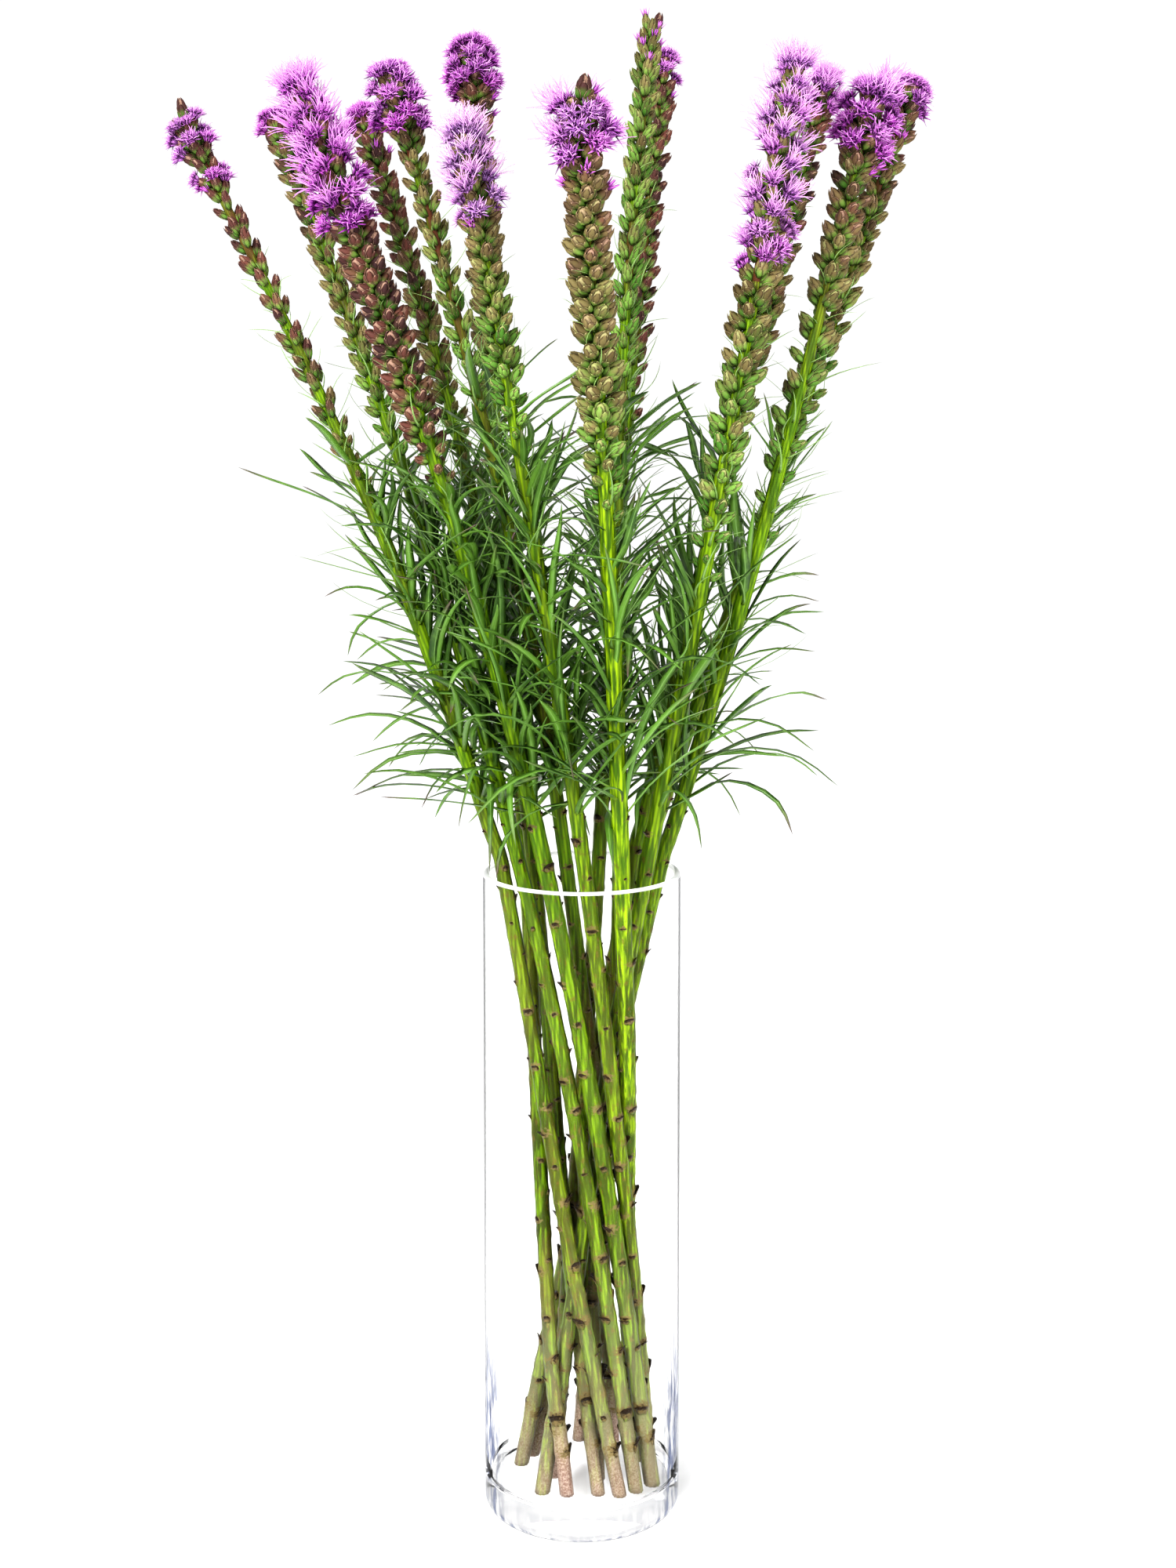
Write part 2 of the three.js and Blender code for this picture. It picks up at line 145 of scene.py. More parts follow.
class Finish(NodeWords):
    """One material, and the ways to paint it."""

    def __init__(self, name):
        self.material = bpy.data.materials.new(name)
        self.material.use_nodes = True
        super().__init__(self.material.node_tree)
        self.shader = next(n for n in self.tree.nodes if n.type == "BSDF_PRINCIPLED")
        self.place = self.node("TexCoord").outputs["Object"]

    def surface(self, **sockets):
        for key, value in sockets.items():
            self.plug(self.shader.inputs[key.replace("_", " ")], value)

    def mark(self, name):
        return self.node("Attribute", {"attribute_name": name}).outputs["Fac"]

    def uv(self):
        split = self.node("SeparateXYZ", Vector=self.node("UVMap", {"uv_map": "UVMap"}).outputs["UV"])
        return split.outputs["X"], split.outputs["Y"]

    def height(self):
        return self.node("SeparateXYZ", Vector=self.place).outputs["Z"]

    def distance_from_axis(self):
        level = self.node("Mapping", Vector=self.place, Scale=(1, 1, 0)).outputs["Vector"]
        return self.node("VectorMath", {"operation": "LENGTH"}, Vector=level).outputs["Value"]

    def noise(self, scale, detail=3.0, turn=(0, 0, 0)):
        """Grain that may be stretched, by a scale for each direction, and turned."""
        place = self.place
        if isinstance(scale, tuple):
            place = self.node("Mapping", Vector=place, Rotation=turn, Scale=scale).outputs["Vector"]
            scale = 1.0
        return self.node("TexNoise", Vector=place, Scale=scale, Detail=detail).outputs["Fac"]

    def over(self, colour, share, new_colour, strength=1.0):
        """Lays a new colour over another where the share says, at a strength."""
        if strength < 1:
            share = self.times(share, strength)
        made = self.node("Mix", {"data_type": "RGBA"})
        for socket, value in zip((0, 6, 7), (share, colour, new_colour)):
            self.plug(made.inputs[socket], value)
        return made.outputs[2]

    def shades(self, dark, light):
        """A colour between two, by the shade that each copy was given."""
        return self.over(dark, self.mark("shade"), light)

    def off_middle(self, across):
        return self.sum("ABSOLUTE", self.sum("SUBTRACT", across, 0.5))

    def bump(self, height, strength, distance):
        made = self.node("Bump", Height=height, Strength=strength, Distance=distance)
        self.surface(Normal=made.outputs["Normal"])


# %% Floor and light
FLOOR_DROP = 0.0005
FLOOR_SIZE = 6.0
PAINTED_SHADE_TO = 0.062
WHITE_PAPER_FROM = 0.11


def make_floor():
    bm = bmesh.new()
    bmesh.ops.create_grid(bm, x_segments=1, y_segments=1, size=FLOOR_SIZE)
    bmesh.ops.translate(bm, verts=bm.verts, vec=(0, 0, -FLOOR_DROP))
    mesh = mesh_from(bm, "floor")
    white = Finish("floor_white")
    # Painted shade: the paper right under the vase is painted grey, for the thick foot to bend into view,
    # and it turns pure white further out.
    near = white.over("#dcdcdc", white.noise(3.0), "#e2e2e2")
    far = white.fade(white.distance_from_axis(), PAINTED_SHADE_TO, WHITE_PAPER_FROM)
    white.surface(Base_Color=white.over(near, far, "#fefefe"), Roughness=0.9)
    mesh.materials.append(white.material)
    add_object("floor", mesh)


def make_dome():
    """White all round, falling to grey only far out to either side near the floor."""
    world = bpy.data.worlds.new("studio")
    bpy.context.scene.world = world
    world.use_nodes = True
    sky = NodeWords(world.node_tree)
    split = sky.node("SeparateXYZ", Vector=sky.node("TexCoord").outputs["Generated"])
    sideways = sky.sum("ABSOLUTE", split.outputs["X"])
    ring = sky.fade(sideways, *DOME_SIDES, DOME_STRENGTH, DOME_SIDE_STRENGTH)
    top = sky.fade(split.outputs["Z"], *DOME_TOP, 0.0, DOME_TOP_STRENGTH)
    background = world.node_tree.nodes["Background"]
    sky.plug(background.inputs["Strength"], sky.sum("MAXIMUM", ring, top))
    sky.plug(background.inputs["Color"], (1, 1, 1, 1))


def make_lamp(name, place, aim, size, power):
    lamp_data = bpy.data.lights.new(name, "AREA")
    lamp_data.size = size
    lamp_data.energy = power
    lamp = add_object(name, lamp_data)
    lamp.location = place
    lamp.rotation_euler = (Vector(aim) - Vector(place)).to_track_quat("-Z", "Y").to_euler()


DOME_STRENGTH = 0.86
DOME_SIDE_STRENGTH = 0.66
DOME_TOP_STRENGTH = 0.9
DOME_SIDES = (0.72, 0.95)
DOME_TOP = (0.3, 0.7)
BUNCH_MIDDLE = (0, 0, 0.55)
make_floor()
make_dome()
make_lamp("key_lamp", (-1.3, -2.2, 2.1), BUNCH_MIDDLE, size=1.0, power=98)
make_lamp("fill_lamp", (1.8, -1.6, 1.2), BUNCH_MIDDLE, size=1.4, power=30)

# %% [markdown]
# Where the stems run
#
# Each stem is set by five places: on the vase floor, at the waist where the bunch is tightest, at
# the rim, at the shoulder and at the tip. Then the stems are pushed apart where they would touch
# and smoothed, as stems do when they are dropped in a vase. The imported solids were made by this
# same rule, in millimetres, so it is worked out here in millimetres again and only the finished
# meshes are scaled to metres.

# %% The stems
MM = 0.001
VASE_RADIUS = 60
VASE_HEIGHT = 400
VASE_WALL = 4
VASE_FLOOR = 20
SEAT_GAP = 0.3
WAIST_HEIGHT = 185
SHOULDER_HEIGHT = 640
STALK_RADIUS = 4.7
STALK_TIP_RADIUS = 2
TAPER_FROM = 560
BUD_STEP = 9


@dataclass
class Stem:
    foot: tuple  # across and back, on the vase floor
    waist: tuple
    rim: tuple
    shoulder: tuple
    tip: tuple  # across, back and up
    buds: tuple  # the height of the lowest bud, and how far the buds reach from the middle
    head: tuple  # the same of the purple head
    girth: float  # how thick the stalk is, against the usual one
    leaves: int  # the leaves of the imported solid
    ripe: tuple  # the lowest and the highest buds, from 0 green to 1 maroon
    opened: float  # how much of the head is open, from the tip down
    pale: float  # how pale the tufts are
    brown: float  # how brown the stalk is
    apart: float = 1.7  # how far apart the tufts sit
    closed: tuple = ()  # bands of the head that are still closed, as shares of its height
    capped: bool = False  # a closed bud sits on the very tip
    threads: float = 0.0  # how many tufts trail long threads
    more_leaves: int = 66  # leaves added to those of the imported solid
    clumps: float = 0.0  # how much the buds gather in clumps
    parted: bool = False  # the buds leave the stalk bare in front
    # fresh sets painted light on the stalk: stems in front are painted a brighter green, those behind a
    # darker green as painted shade.
    fresh: float = 0.2  # how bright the stalk's green is
    hug: float = 0.0  # how closely the added leaves hug the stalk
    loose: float = 1.0  # how loosely the buds stand


STEMS = [
    Stem((23, -32), (-12, -17), (-47, -9), (-128, -14), (-236, -20, 855),
         (642, 10), (806, 13), 0.92, 12, ripe=(0.5, 1.1), opened=1.0, pale=0.3, brown=0.3,
         closed=((0.22, 0.48), (0.82, 0.95)), capped=True, clumps=2.8),
    Stem((33, -26), (9, -20), (-33, -19), (-104, 8), (-188, 40, 860),
         (640, 11.5), (836, 13), 0.95, 12, ripe=(0.2, 0.8), opened=0.4, pale=0.1, brown=0.15,
         more_leaves=90),
    Stem((43, -17), (20, -17), (-18, -27), (-80, -32), (-164, -40, 871),
         (650, 16.5), (778, 21), 1.05, 13, ripe=(0.75, 0.95), opened=1.0, pale=0.08, brown=0.1,
         apart=2.3, threads=1.0, more_leaves=95),
    Stem((20, 39), (9, 14), (-7, -8), (-47, -14), (-113, -35, 880),
         (680, 11), (828, 18), 0.88, 12, ripe=(0.05, 0.65), opened=0.7, pale=0.15, brown=0.5,
         apart=1.9, loose=1.2),
    Stem((10, -30), (-14, -4), (-27, 8), (-66, 34), (-137, 60, 864),
         (650, 12), (824, 13), 0.9, 12, ripe=(0.4, 1.0), opened=0.35, pale=0.0, brown=0.3),
    Stem((-9, -31), (-23, -8), (-34, 26), (-52, 60), (-69, 90, 908),
         (660, 14), (866, 18.5), 0.92, 12, ripe=(0.3, 0.8), opened=0.9, pale=0.1, brown=0.4, apart=1.5),
    Stem((42, 3), (30, -9), (4, -36), (-33, -48), (-67, -70, 843),
         (668, 13.5), (784, 18), 0.95, 13, ripe=(0.05, 0.6), opened=1.0, pale=0.9, brown=0.2,
         apart=2.3, threads=1.0, more_leaves=80, fresh=0.5),
    Stem((33, 16), (25, 4), (24, -41), (14, -66), (-2, -120, 860),
         (632, 16.5), (806, 24), 1.08, 13, ripe=(0.25, 0.68), opened=1.0, pale=0.35, brown=0.1,
         apart=1.9, closed=((0.0, 0.3), (0.8, 1.0)), capped=True, threads=0.45, more_leaves=44,
         fresh=1.0, hug=0.5),
    Stem((-2, 45), (11, 22), (26, -8), (18, -8), (42, 10, 914),
         (668, 11), (872, 10), 0.9, 11, ripe=(0.1, 0.4), opened=0.0, pale=0.3, brown=0.3,
         capped=True),
    Stem((10, -10), (4, 1), (11, 18), (24, 46), (52, 90, 900),
         (660, 12), (862, 11), 0.92, 12, ripe=(1.0, 1.3), opened=0.45, pale=0.1, brown=0.3),
    Stem((-24, -28), (0, -8), (38, -21), (82, -36), (122, -50, 881),
         (594, 15), (754, 19.5), 1, 13, ripe=(0.1, 0.55), opened=0.95, pale=0.5, brown=0.15,
         apart=3.3, threads=0.9, more_leaves=26, fresh=0.5, hug=0.6, loose=1.35),
    Stem((-17, -6), (-3, 10), (31, 20), (88, 42), (150, 60, 883),
         (660, 12.5), (848, 14), 0.92, 12, ripe=(0.4, 0.9), opened=0.6, pale=0.2, brown=0.4,
         threads=0.5, more_leaves=24, hug=0.8),
    Stem((-38, 11), (-6, 18), (50, -3), (118, -6), (173, -10, 872),
         (618, 14.5), (818, 23), 0.98, 13, ripe=(0.15, 0.7), opened=0.85, pale=0.15, brown=0.15,
         apart=1.9, threads=0.12, more_leaves=14, parted=True, fresh=0.4, hug=1.0, loose=1.2),
    Stem((-31, 24), (2, 28), (38, 34), (122, 28), (203, 50, 880),
         (668, 12.5), (842, 15), 0.92, 12, ripe=(0.2, 0.75), opened=0.6, pale=0.2, brown=0.3,
         more_leaves=14, hug=1.0),
]


# %% The stems' lines
def smooth_value(heights, values, place):
    """A smooth value through known ones, at one place or at an array of places."""
    heights, values = np.asarray(heights, float), np.asarray(values, float)
    last = len(heights) - 1
    k = np.searchsorted(heights[1:-1], place, side="left")

    def slope_at(n):
        before, after = np.maximum(n - 1, 0), np.minimum(n + 1, last)
        return (values[after] - values[before]) / (heights[after] - heights[before])

    span = heights[k + 1] - heights[k]
    t = (place - heights[k]) / span
    ease = t * t * (3 - 2 * t)
    leave = t * (1 - t) * (1 - t) * span * slope_at(k)
    arrive = t * t * (t - 1) * span * slope_at(k + 1)
    return values[k] + (values[k + 1] - values[k]) * ease + leave + arrive


def stalk_radius(stem, z):
    full = STALK_RADIUS * stem.girth
    share = np.maximum(0, (z - TAPER_FROM) / (stem.tip[2] - TAPER_FROM))
    return full + (STALK_TIP_RADIUS - full) * share


def room_radius(stem, z):
    """The room that a stem needs round its middle line at a height."""
    if z > stem.head[0] - BUD_STEP:
        return max(stem.head[1], stem.buds[1])
    if z > stem.buds[0] - BUD_STEP:
        return stem.buds[1]
    return float(stalk_radius(stem, z))


LEVEL_STEP = 15
SETTLING_PASSES = 90
SMOOTHING_PASSES = 70
SLANT_ALLOWANCE = 1.14
STEM_GAP = 1.2
STALK_BOTTOM = VASE_FLOOR + SEAT_GAP
RIM_LEVEL = round((VASE_HEIGHT - STALK_BOTTOM) / LEVEL_STEP)


def first_path(stem):
    knots = [STALK_BOTTOM, WAIST_HEIGHT, VASE_HEIGHT, SHOULDER_HEIGHT, stem.tip[2]]
    points = [stem.foot, stem.waist, stem.rim, stem.shoulder, stem.tip]
    count = math.ceil((stem.tip[2] - STALK_BOTTOM) / LEVEL_STEP) + 1
    levels = STALK_BOTTOM + LEVEL_STEP * np.arange(count)
    return [levels] + [list(smooth_value(knots, [p[axis] for p in points], levels)) for axis in (0, 1)]


def push_apart(paths, rooms, i, n):
    """Moves stem i and each later one apart at level n, where they are too close."""
    _, xs, ys = paths[i]
    for j in range(i + 1, len(paths)):
        if n >= len(paths[j][0]):
            continue
        need = (rooms[i][n] + rooms[j][n]) * SLANT_ALLOWANCE + STEM_GAP
        dx = paths[j][1][n] - xs[n]
        dy = paths[j][2][n] - ys[n]
        apart = math.sqrt(dx * dx + dy * dy)
        if apart >= need:
            continue
        push = (need - apart) / (2 * apart)
        xs[n] -= dx * push
        ys[n] -= dy * push
        paths[j][1][n] += dx * push
        paths[j][2][n] += dy * push


def keep_inside(paths, rooms, i, n):
    _, xs, ys = paths[i]
    limit = VASE_RADIUS - VASE_WALL - STEM_GAP - rooms[i][n] * SLANT_ALLOWANCE
    out = math.hypot(xs[n], ys[n])
    if out > limit:
        xs[n] *= limit / out
        ys[n] *= limit / out


def settle_paths():
    paths = [first_path(stem) for stem in STEMS]
    rooms = [[room_radius(stem, z) for z in path[0]] for stem, path in zip(STEMS, paths)]
    for settling in range(SETTLING_PASSES):
        for i, path in enumerate(paths):
            for n, z in enumerate(path[0]):
                push_apart(paths, rooms, i, n)
                if z <= VASE_HEIGHT + LEVEL_STEP:
                    keep_inside(paths, rooms, i, n)
        if settling >= SMOOTHING_PASSES:
            continue
        for path in paths:
            for line in path[1:]:
                for n in range(1, len(line) - 1):
                    line[n] += (line[n - 1] + line[n + 1] - 2 * line[n]) / 4
    return paths


PATHS = settle_paths()
print("stems settled:", len(PATHS), "and the first at the rim:", [round(p[RIM_LEVEL], 1) for p in PATHS[0]])


# %% Directions along a stem
SLOPE_STEP = 2


def middle(index, z):
    """The middle of a stem at a height or at an array of heights."""
    levels, xs, ys = PATHS[index]
    z = np.asarray(z, float)
    return np.stack([smooth_value(levels, xs, z), smooth_value(levels, ys, z), z], axis=-1)


def unit(vectors):
    return vectors / np.linalg.norm(vectors, axis=-1, keepdims=True)


def stem_axes(index, z):
    """Up the stem, then the two directions across it that its rings are laid out in."""
    z = np.asarray(z, float)
    along = unit(middle(index, z + SLOPE_STEP) - middle(index, z - SLOPE_STEP))
    across = unit(np.array([1.0, 0, 0]) - along * along[..., :1])
    return along, across, np.cross(along, across)


# %% [markdown]
# Patterns and copies
#
# A spike carries a hundred buds and a head carries hundreds of florets, so each small part is
# modelled once as a pattern and then copied. Every small part of this plant is some kind of
# tapering strand: a leaf is a channelled strand, a bud scale a wide hollow one, a petal lobe a
# short flat one and a style a fine thread. So one helper extrudes a closed strand ring by ring.
# The strand keeps a UV map of its own, across and along, which the materials use for midribs,
# fringes and tips. Copies are gathered in one mesh per stem, and each copy can carry its own
# ripeness and shade as attributes.

# %% Strands
MARKS = ("ripeness", "shade", "scar", "pale", "groove")
WELD = 1e-6


def new_bmesh():
    bm = bmesh.new()
    bm.loops.layers.uv.new("UVMap")
    for mark in MARKS:
        bm.verts.layers.float.new(mark)
    return bm


def strand(section, stations, finish):
    """A closed strand up Z: its section's corners, then height, width and thickness at each ring."""
    bm = new_bmesh()
    uv = bm.loops.layers.uv["UVMap"]
    bmesh.ops.create_circle(bm, cap_ends=True, segments=len(section))
    bm.verts.ensure_lookup_table()
    for vert, corner in zip(bm.verts, section):
        vert.co = (corner[0], corner[1], 0)
    edges = list(bm.edges)
    rings = [list(bm.verts)]
    for before, station in zip(stations, stations[1:]):
        made = bmesh.ops.extrude_edge_only(bm, edges=edges)["geom"]
        verts = [item for item in made if isinstance(item, bmesh.types.BMVert)]
        edges = [item for item in made if isinstance(item, bmesh.types.BMEdge)]
        bmesh.ops.translate(bm, verts=verts, vec=(0, 0, station[0] - before[0]))
        rings.append(verts)
    bmesh.ops.holes_fill(bm, edges=edges)
    for face in bm.faces:
        face.smooth = True
        face.material_index = finish
        for loop in face.loops:
            loop[uv].uv = (0.5 + 0.5 * loop.vert.co.x, loop.vert.co.z / stations[-1][0])
    bmesh.ops.recalc_face_normals(bm, faces=bm.faces)
    for verts, station in zip(rings, stations):
        bmesh.ops.scale(bm, verts=verts, vec=(station[1], station[2], 1))
    bmesh.ops.remove_doubles(bm, verts=bm.verts, dist=WELD)
    return pattern_from(bm)


def pattern_from(bm):
    """Keeps a small shape as a mesh, with its points as an array beside it."""
    mesh = mesh_from(bm, "pattern")
    points = np.zeros(len(mesh.vertices) * 3)
    mesh.vertices.foreach_get("co", points)
    return mesh, points.reshape(-1, 3)


# %% Gathering copies
class Heap:
    """Gathers copies of patterns in one mesh."""

    def __init__(self):
        self.bm = new_bmesh()

    def put(self, pattern, points, **marks):
        mesh = pattern[0].copy()
        mesh.vertices.foreach_set("co", np.asarray(points, np.float32).ravel())
        for name, value in marks.items():
            values = np.broadcast_to(np.asarray(value, np.float32), len(mesh.vertices))
            mesh.attributes[name].data.foreach_set("value", np.ascontiguousarray(values))
        self.bm.from_mesh(mesh)
        bpy.data.meshes.remove(mesh)

    def as_pattern(self):
        return pattern_from(self.bm)

    def as_piece(self, name, finishes, scale):
        bmesh.ops.scale(self.bm, verts=self.bm.verts, vec=(scale, scale, scale))
        mesh = mesh_from(self.bm, name)
        indices = np.zeros(len(mesh.polygons), np.int32)
        mesh.polygons.foreach_get("material_index", indices)
        used, indices = np.unique(indices, return_inverse=True)
        for finish in used:
            mesh.materials.append(finishes[finish])
        mesh.polygons.foreach_set("material_index", indices.astype(np.int32).ravel())
        piece = add_object(name, mesh)
        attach(piece, "root")
        return piece


def triangles(piece):
    return sum(len(face.vertices) - 2 for face in piece.data.polygons)


STALK, SCALE, LEAF, PETAL, THREAD = range(5)

# %% [markdown]
# The stalk
#
# A blazing star stalk is ribbed from end to end, and below the leaves it keeps the brown scars of
# the leaves that were stripped off. It could be a curve with a round bevel, but then it would have
# no ribs and no scars. So it is a straight ribbed tube, extruded ring by ring like any strand, and
# its points are then moved to the stem's line. Around each scar the skin is pushed out a little
# and marked, and the material paints the marked skin brown.

# %% Stalks
STALK_CORNERS = 20
STALK_RING_STEP = 3.0
RIB_DEPTH = 0.12
SCAR_STEP = 11.5
SCAR_WIDTH = 3.8
SCAR_HEIGHT = 1.5
SCAR_SWELL = 0.5
KNOT_HEIGHT = 3.0
KNOT_SWELL = 0.2
SCAR_STAIN = 0.8
SCARS_FROM = 50
SCARS_TO = 455
OLD_SCARS_BELOW = 330
OLD_SCARS_OVER = 250
FLUSH_FROM = 690
FLUSH_OVER = 110
FLUSH_DEPTH = 0.7
FLAT_FOOT = 0.5
GOLDEN_ANGLE = 2.399963


def stalk_tube(length):
    corners = [(math.cos(a), math.sin(a)) for a in np.arange(STALK_CORNERS) * 2 * math.pi / STALK_CORNERS]
    rings = max(3, round(length / STALK_RING_STEP))
    return strand(corners, [(n / rings, 1, 1) for n in range(rings + 1)], STALK)


def scar_places(draw):
    """Heights, turns and sizes of the leaf scars, in the same spiral as the leaves above."""
    count = int((SCARS_TO - SCARS_FROM) / SCAR_STEP)
    heights = [SCARS_FROM + (n + draw.uniform(-0.3, 0.3)) * SCAR_STEP for n in range(count)]
    return [
        (z, GOLDEN_ANGLE * n + draw.uniform(-0.3, 0.3), draw.uniform(0.45, 1.45) * scar_growth(z))
        for n, z in enumerate(heights)
    ]


def scar_growth(height):
    """The oldest scars, low on the stalk, are the widest."""
    return 1 + np.clip((OLD_SCARS_BELOW - height) / OLD_SCARS_OVER, 0, 1)


def around_stem(index, z, angle, radius):
    """Points at a turn and a distance from a stem's middle line."""
    _, across, back = stem_axes(index, z)
    level = z < STALK_BOTTOM + FLAT_FOOT
    across[level], back[level] = (1, 0, 0), (0, 1, 0)
    sides = across * (np.cos(angle) * radius)[:, None] + back * (np.sin(angle) * radius)[:, None]
    return middle(index, z) + sides


def flush(index, z):
    """How brown the stalk is at a height: every spike turns browner towards its head."""
    return STEMS[index].brown + FLUSH_DEPTH * np.clip((z - FLUSH_FROM) / FLUSH_OVER, 0, 1)


def lay_stalk(heap, index, bottom, top, scars, girth=1.0, browner=0.0):
    """Lays a ribbed tube along the stem from one height to another, with a knot at each scar."""
    tube = stalk_tube(top - bottom)
    points = tube[1]
    z = bottom + (top - bottom) * points[:, 2]
    angle = np.arctan2(points[:, 1], points[:, 0])
    corner = np.round(angle / (2 * math.pi / STALK_CORNERS)).astype(int)
    radius = girth * stalk_radius(STEMS[index], z) * (1 - RIB_DEPTH * (corner % 2))
    scarred, knotted = np.zeros(len(points)), np.zeros(len(points))
    for height, turn, size in scars:
        round_to = np.abs((angle - turn + math.pi) % (2 * math.pi) - math.pi) * radius
        wide, tall = SCAR_WIDTH * size, SCAR_HEIGHT * size
        near = np.exp(-((round_to / wide) ** 2) - ((z - height) / tall) ** 2)
        scarred = np.maximum(scarred, near)
        knot = size * np.exp(-(((z - height) / KNOT_HEIGHT) ** 2))
        knotted = np.maximum(knotted, knot)
    points = around_stem(index, z, angle, radius + SCAR_SWELL * scarred + KNOT_SWELL * knotted)
    # The shade mark carries the stem's painted light: brighter for stalks in front, darker as painted shade
    # for those behind.
    heap.put(tube, points, scar=SCAR_STAIN * scarred, groove=corner % 2,
             ripeness=flush(index, z) + browner, shade=STEMS[index].fresh)
    bpy.data.meshes.remove(tube[0])


# %% [markdown]
# The torn leaf ends
#
# Where a leaf was pulled off, its torn foot stays behind as a small ledge that hugs the stalk and
# sticks out of the outline at its upper edge. It is one short wide strand, bent round the stalk
# just under its scar.

# %% Torn ledges
LEDGE = strand(((-1, 0), (-0.4, -0.2), (0.4, -0.2), (1, 0), (0.5, 0.8), (-0.5, 0.8)),
               [(0, 0.7, 0.6), (0.35, 1, 1), (0.75, 0.8, 1), (1, 0.35, 0.6)], STALK)


def place_on_stem(index, z, turn, lean, sink=0.0):
    """A place on a stalk's skin and the axes of a part that leans out from it: side, back and up."""
    along, across, back = stem_axes(index, z)
    out = across * math.cos(turn) + back * math.sin(turn)
    foot = middle(index, z) + out * (stalk_radius(STEMS[index], z) - sink)
    up = along * math.cos(lean) + out * math.sin(lean)
    side = np.cross(along, out)
    return foot, np.stack([side, np.cross(up, side), up])


def lay_ledges(heap, index, scars, draw):
    x, y, v = LEDGE[1].T
    for height, turn, size in scars:
        growth = size**0.8
        z = height + growth * (draw.uniform(2.6, 4.6) * v - 2.4)
        out = growth * draw.uniform(0.5, 2.2) * v * v + 0.7 * y
        angle = turn + growth * draw.uniform(0.35, 0.62) * x
        points = around_stem(index, z, angle, stalk_radius(STEMS[index], z) + out)
        # The ledges take the same painted light as their stalk, by the shade mark.
        heap.put(LEDGE, points, scar=0.2 + v, ripeness=STEMS[index].brown, shade=STEMS[index].fresh)


# %% [markdown]
# The leaves
#
# The leaves are narrow, grass-like and channelled, long and bowing over low down, short and
# upright under the buds. A flat card would vanish edge on, so each leaf is a closed strand whose
# section is a shallow V with a keel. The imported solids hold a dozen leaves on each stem, and the
# first set here follows those exactly. A real stem has far more, so about fifty are added between
# them by the same rule, a little shorter, and kept clear of the other stalks.

# %% The leaves' lines
LEAF_LOWEST = 436
LEAF_SEGMENTS = 4
LEAF_SAMPLES = 6
LEAF_ROOT_DEPTH = 2.2
LEAF_CLEARANCE = 4.8
LEAF_TRIES = 30
LEAF_TOP_GAP = 18
FIRST_LEAVES_SEED = 700


def make_draw(seed):
    """The same repeatable random numbers from 0 to 1 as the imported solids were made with."""
    state = seed

    def draw():
        nonlocal state
        state = (state * 1664525 + 1013904223) % 4294967296
        return state / 4294967296

    return draw


def leaf_points(index, leaf):
    """A leaf's middle line: it leaves the stalk steeply, bows over by droop and swings by sweep."""
    start = stalk_radius(STEMS[index], leaf["base"]) - LEAF_ROOT_DEPTH
    facing = leaf["facing"]
    points = [middle(index, leaf["base"]) + start * np.array([math.cos(facing), math.sin(facing), 0])]
    for k in range(LEAF_SEGMENTS):
        share = (k + 0.5) / LEAF_SEGMENTS
        rise = leaf["steepness"] - leaf["droop"] * share
        heading = facing + leaf["sweep"] * share
        way = (math.cos(rise) * math.cos(heading), math.cos(rise) * math.sin(heading), math.sin(rise))
        points.append(points[-1] + leaf["length"] / LEAF_SEGMENTS * np.array(way))
    return np.array(points)


def samples_of(points):
    shares = (np.arange(LEAF_SAMPLES) + 0.5) / LEAF_SAMPLES
    pieces = [a + (b - a) * shares[:, None] for a, b in zip(points, points[1:])]
    return np.concatenate(pieces)


def clear_of_stems(index, samples, gap):
    for other, stem in enumerate(STEMS):
        near = samples[samples[:, 2] <= stem.tip[2] + LEAF_CLEARANCE]
        if other == index:
            near = near[LEAF_SAMPLES:] if len(near) == len(samples) else near
        if not len(near):
            continue
        axis = middle(other, np.minimum(near[:, 2], stem.tip[2]))
        room = np.array([room_radius(stem, z) for z in near[:, 2]]) * SLANT_ALLOWANCE + gap
        if (np.hypot(near[:, 0] - axis[:, 0], near[:, 1] - axis[:, 1]) <= room).any():
            return False
    return samples[:, 2].min() >= VASE_HEIGHT + LEAF_CLEARANCE


def clear_of_leaves(index, samples, placed):
    for leaf in placed:
        mine = samples[LEAF_SAMPLES // 2 :] if leaf["index"] == index else samples
        starts, lines = leaf["points"][:-1], np.diff(leaf["points"], axis=0)
        offset = mine[:, None] - starts[None]
        t = np.clip((offset * lines).sum(-1) / (lines * lines).sum(-1), 0, 1)
        if (np.linalg.norm(offset - t[..., None] * lines, axis=-1) <= LEAF_CLEARANCE).any():
            return False
    return True


def draw_leaf(index, n, height, base, attempt, draw):
    leaf = {
        "index": index,
        "base": base + 6 * (draw() - 0.5),
        "facing": GOLDEN_ANGLE * n + index + 0.9 * attempt * (draw() - 0.5),
        "steepness": 0.62 + 0.5 * height + 0.35 * draw(),
        "droop": (0.35 + 0.9 * draw()) * (1.9 - 1.1 * height),
        "sweep": 1.2 * (draw() - 0.5),
        "length": (0.7 + 0.4 * draw()) * (116 - 44 * height) * (1 - 0.012 * attempt),
        "width": 3.6 + 1.2 * draw(),
    }
    leaf["points"] = leaf_points(index, leaf)
    return leaf


